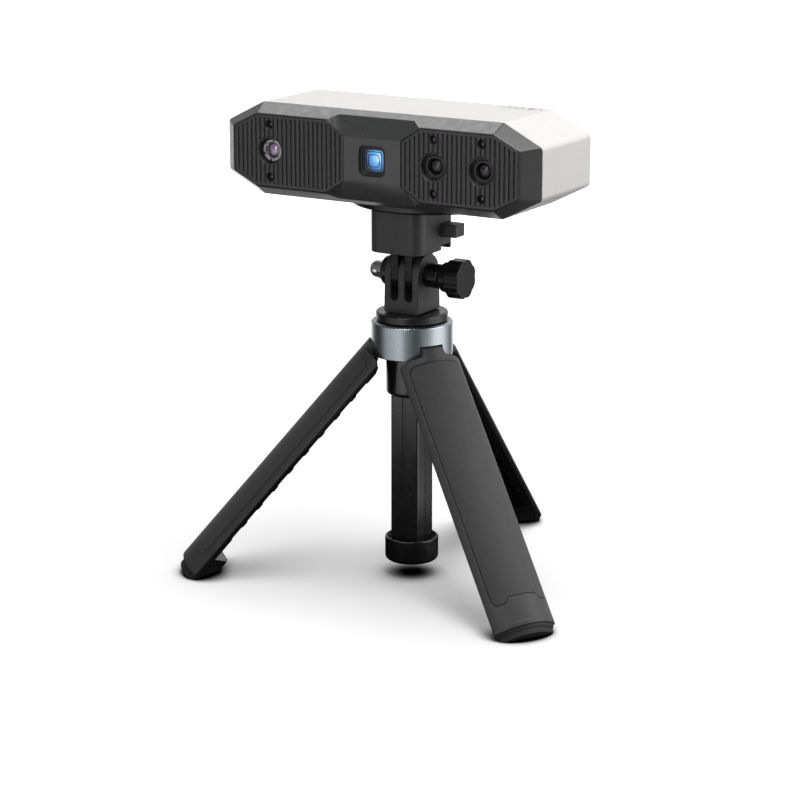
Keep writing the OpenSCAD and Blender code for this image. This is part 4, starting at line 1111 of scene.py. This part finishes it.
for leg_name, leg_turn in LEG_TURNS.items():
    standing = leg_place(leg_turn)
    piece(leg_name + "_leg_shell", moved(leg_shell(), turn=standing), leg_name + "_leg", crease=30)
    piece(leg_name + "_leg_ribs", moved(leg_ribs(), turn=standing), finish="black_plastic", body=leg_name + "_leg")
    inlay = wrapped(inlay_outline(0.0), LEG_R - 1, LEG_R - 0.02, 0, 0.3)
    piece(leg_name + "_leg_inlay", moved(inlay, turn=standing), leg_name + "_grip", crease=30)
    piece(leg_name + "_leg_pad", moved(leg_foot(), turn=standing), leg_name + "_foot", crease=40)


# ---- stage ----

AIR_FRONT, AIR_BACK = 0.13, 0.75
# brightness of the ground that polished parts reflect, by angle round from the front, in degrees:
# far away, and within the reach of the legs
GROUND_FAR = [(-180, 1.0), (-145, 1.9), (-120, 1.4), (-98, 0.2), (-67, 0.05), (-34, 0.8), (-3, 1.2), (16, 0.35),
              (40, 0.1), (72, 0.55), (98, 1.6), (122, 1.6), (148, 0.55), (166, 0.06), (179, 0.8)]
GROUND_NEAR = [(-180, 0.4), (-142, 2.0), (-112, 0.3), (-60, 0.03), (40, 0.03), (75, 0.3), (98, 1.7), (128, 0.9),
               (150, 0.06), (179, 0.3)]


def ground_glow(shader, around, levels):
    """Colour of the reflected ground at each angle, halved to fit a colour ramp."""
    node = shader.add("ValToRGB")
    shader.join(around, node.inputs["Fac"])
    ramp = node.color_ramp
    ramp.interpolation = "EASE"
    stops = sorted(((angle / 360 + 0.25) % 1, level / 2) for angle, level in levels)
    for spot, level in stops[1:-1]:
        ramp.elements.new(spot).color = (level, level, level, 1)
    for end, (spot, level) in ((0, stops[0]), (-1, stops[-1])):
        ramp.elements[end].position = spot
        ramp.elements[end].color = (level, level, level, 1)
    return node.outputs["Color"]


def floor_paper():
    """White paper that stays white for the camera apart from a painted contact shadow where the object comes close, and
    darkens near the object for light that bounces.
    """
    shader = Shader("floor_paper")
    away = shader.add("TexGradient", gradient_type="SPHERICAL")
    shader.join(shader.place, away.inputs["Vector"])
    path = shader.add("LightPath").outputs
    grain = shader.ramp(shader.noise(2, 3), 0.0, 1.0)
    contact_shadow_ao = shader.add("AmbientOcclusion", samples=24)
    contact_shadow_ao.inputs["Distance"].default_value = 0.014
    outside_painted_shadow = shader.ramp(contact_shadow_ao.outputs["AO"], 0.0, 1.0, 0.38, 0.85)
    paper = shader.mix(grain, (0.925, 0.925, 0.925), (0.935, 0.935, 0.935))
    bounced = shader.mix(shader.ramp(away.outputs["Fac"], 0, 1, 0.4, 0.75), (0.75, 0.75, 0.75), (0.05, 0.05, 0.05))
    # painted contact shadow: the paper's colour goes to black where the object is close above it
    paper = shader.mix(outside_painted_shadow, (0, 0, 0), paper)
    base = shader.mix(path["Is Camera Ray"], bounced, paper)
    shader.join(shader.mix(path["Is Glossy Ray"], base, (0, 0, 0)), shader.surface.inputs["Base Color"])

    around = shader.add("TexGradient", gradient_type="RADIAL")
    shader.join(shader.place, around.inputs["Vector"])
    reach = shader.ramp(away.outputs["Fac"], 0, 1, 0.68, 0.8)
    ground = shader.mix(reach, ground_glow(shader, around.outputs["Fac"], GROUND_FAR),
                        ground_glow(shader, around.outputs["Fac"], GROUND_NEAR))
    lit = shader.ramp(away.outputs["Fac"], 1.0, 0.22, 0.3, 0.78)
    # the paper's glow for the camera is also cut inside the painted contact shadow
    strength = shader.mix(path["Is Camera Ray"], (0, 0, 0), shader.mix(outside_painted_shadow, (0, 0, 0), (1, 1, 1)))
    glow = shader.add("VectorMath", operation="SCALE")
    shader.join(strength, glow.inputs[0])
    shader.join(lit, glow.inputs["Scale"])
    doubled = shader.add("VectorMath", operation="SCALE")
    shader.join(shader.ramp(away.outputs["Fac"], 2, 0.06, 0.9, 0.94), doubled.inputs["Scale"])
    shader.join(ground, doubled.inputs[0])
    shader.join(shader.mix(path["Is Glossy Ray"], glow.outputs[0], doubled.outputs[0]),
                shader.surface.inputs["Emission Color"])
    shader.set(Roughness=0.9, Specular_IOR_Level=0.0, Emission_Strength=1.0)
    return shader.material


def studio_floor():
    side = 6.0
    form = bmesh.new()
    bmesh.ops.create_grid(form, x_segments=8, y_segments=8, size=side / 2)
    mesh = bpy.data.meshes.new("floor")
    form.to_mesh(mesh)
    form.free()
    floor = bpy.data.objects.new("floor", mesh)
    bpy.context.scene.collection.objects.link(floor)
    mesh.materials.append(floor_paper())
    return floor


def studio_air():
    """White behind the object for the camera; for light, dim in front and brighter behind."""
    world = bpy.data.worlds.new("studio_air")
    bpy.context.scene.world = world
    world.use_nodes = True
    nodes, links = world.node_tree.nodes, world.node_tree.links
    way = nodes.new("ShaderNodeTexCoord")
    split = nodes.new("ShaderNodeSeparateXYZ")
    links.new(way.outputs["Generated"], split.inputs[0])
    behind = nodes.new("ShaderNodeMapRange")
    for key, number in (("From Min", 0.1), ("From Max", 0.8), ("To Min", AIR_FRONT), ("To Max", AIR_BACK)):
        behind.inputs[key].default_value = number
    links.new(split.outputs["Y"], behind.inputs["Value"])
    seen = nodes.new("ShaderNodeLightPath")
    level = nodes.new("ShaderNodeMix")
    links.new(seen.outputs["Is Camera Ray"], level.inputs[0])
    links.new(behind.outputs["Result"], level.inputs[2])
    level.inputs[3].default_value = 1.0
    links.new(level.outputs[0], nodes["Background"].inputs["Strength"])
    nodes["Background"].inputs["Color"].default_value = (1, 1, 1, 1)


def softbox(name, turn, height, distance, size, radiance, floor_share="EXCLUDE"):
    """A soft light seen from the object at an angle round from the front and a height, in degrees."""
    around, up = math.radians(turn), math.radians(height)
    direction = Vector((math.sin(around) * math.cos(up), -math.cos(around) * math.cos(up), math.sin(up)))
    light = bpy.data.lights.new(name, "AREA")
    light.shape = "RECTANGLE"
    light.size, light.size_y = size
    light.energy = radiance * math.pi * size[0] * size[1]
    holder = bpy.data.objects.new(name, light)
    holder.location = Vector((0, POLE.y * MM, 0.1)) + direction * distance
    holder.rotation_mode = "QUATERNION"
    holder.rotation_quaternion = direction.to_track_quat("Z", "Y")
    holder.visible_camera = False
    bpy.context.scene.collection.objects.link(holder)
    if floor_share:
        chosen = bpy.data.collections.new(name + "_floor")
        chosen.objects.link(bpy.data.objects["floor"])
        holder.light_linking.receiver_collection = chosen
        chosen.collection_objects[0].light_linking.link_state = floor_share


def studio_camera():
    """The photograph's viewpoint: right of the front and a little above."""
    azimuth, elevation = math.radians(30.872), math.radians(14.869)
    right = Vector((math.cos(azimuth), math.sin(azimuth), 0))
    back_way = Vector((math.sin(azimuth) * math.cos(elevation), -math.cos(azimuth) * math.cos(elevation),
                       math.sin(elevation)))
    target = Vector((0, POLE.y, 72.933)) - right * 4.804
    lens = bpy.data.cameras.new("camera")
    lens.sensor_width = 36
    lens.lens = 117.146
    lens.clip_start = 0.05
    camera = bpy.data.objects.new("camera", lens)
    camera.location = (target + back_way * 1051.3) * MM
    camera.rotation_mode = "QUATERNION"
    camera.rotation_quaternion = back_way.to_track_quat("Z", "Y")
    bpy.context.scene.collection.objects.link(camera)
    bpy.context.scene.camera = camera
    bpy.context.scene.view_settings.view_transform = "Standard"


studio_floor()
studio_air()
softbox("overhead", 46, 73, 1.3, (0.6, 0.6), 5.2, None)
softbox("top_left", -116, 59, 1.25, (0.5, 0.42), 4.1)
softbox("top_fill", 130, 60, 1.3, (0.6, 0.6), 3.9)
softbox("right_box", 108, 18, 1.2, (1.0, 0.8), 2.6)
softbox("front_box", -4, 20, 1.2, (0.5, 0.9), 2.0)
softbox("sparkle", 12, 38, 1.2, (0.06, 0.06), 60.0)
softbox("floor_light", 150, 84, 1.3, (0.6, 0.6), 8.2, "INCLUDE")
studio_camera()
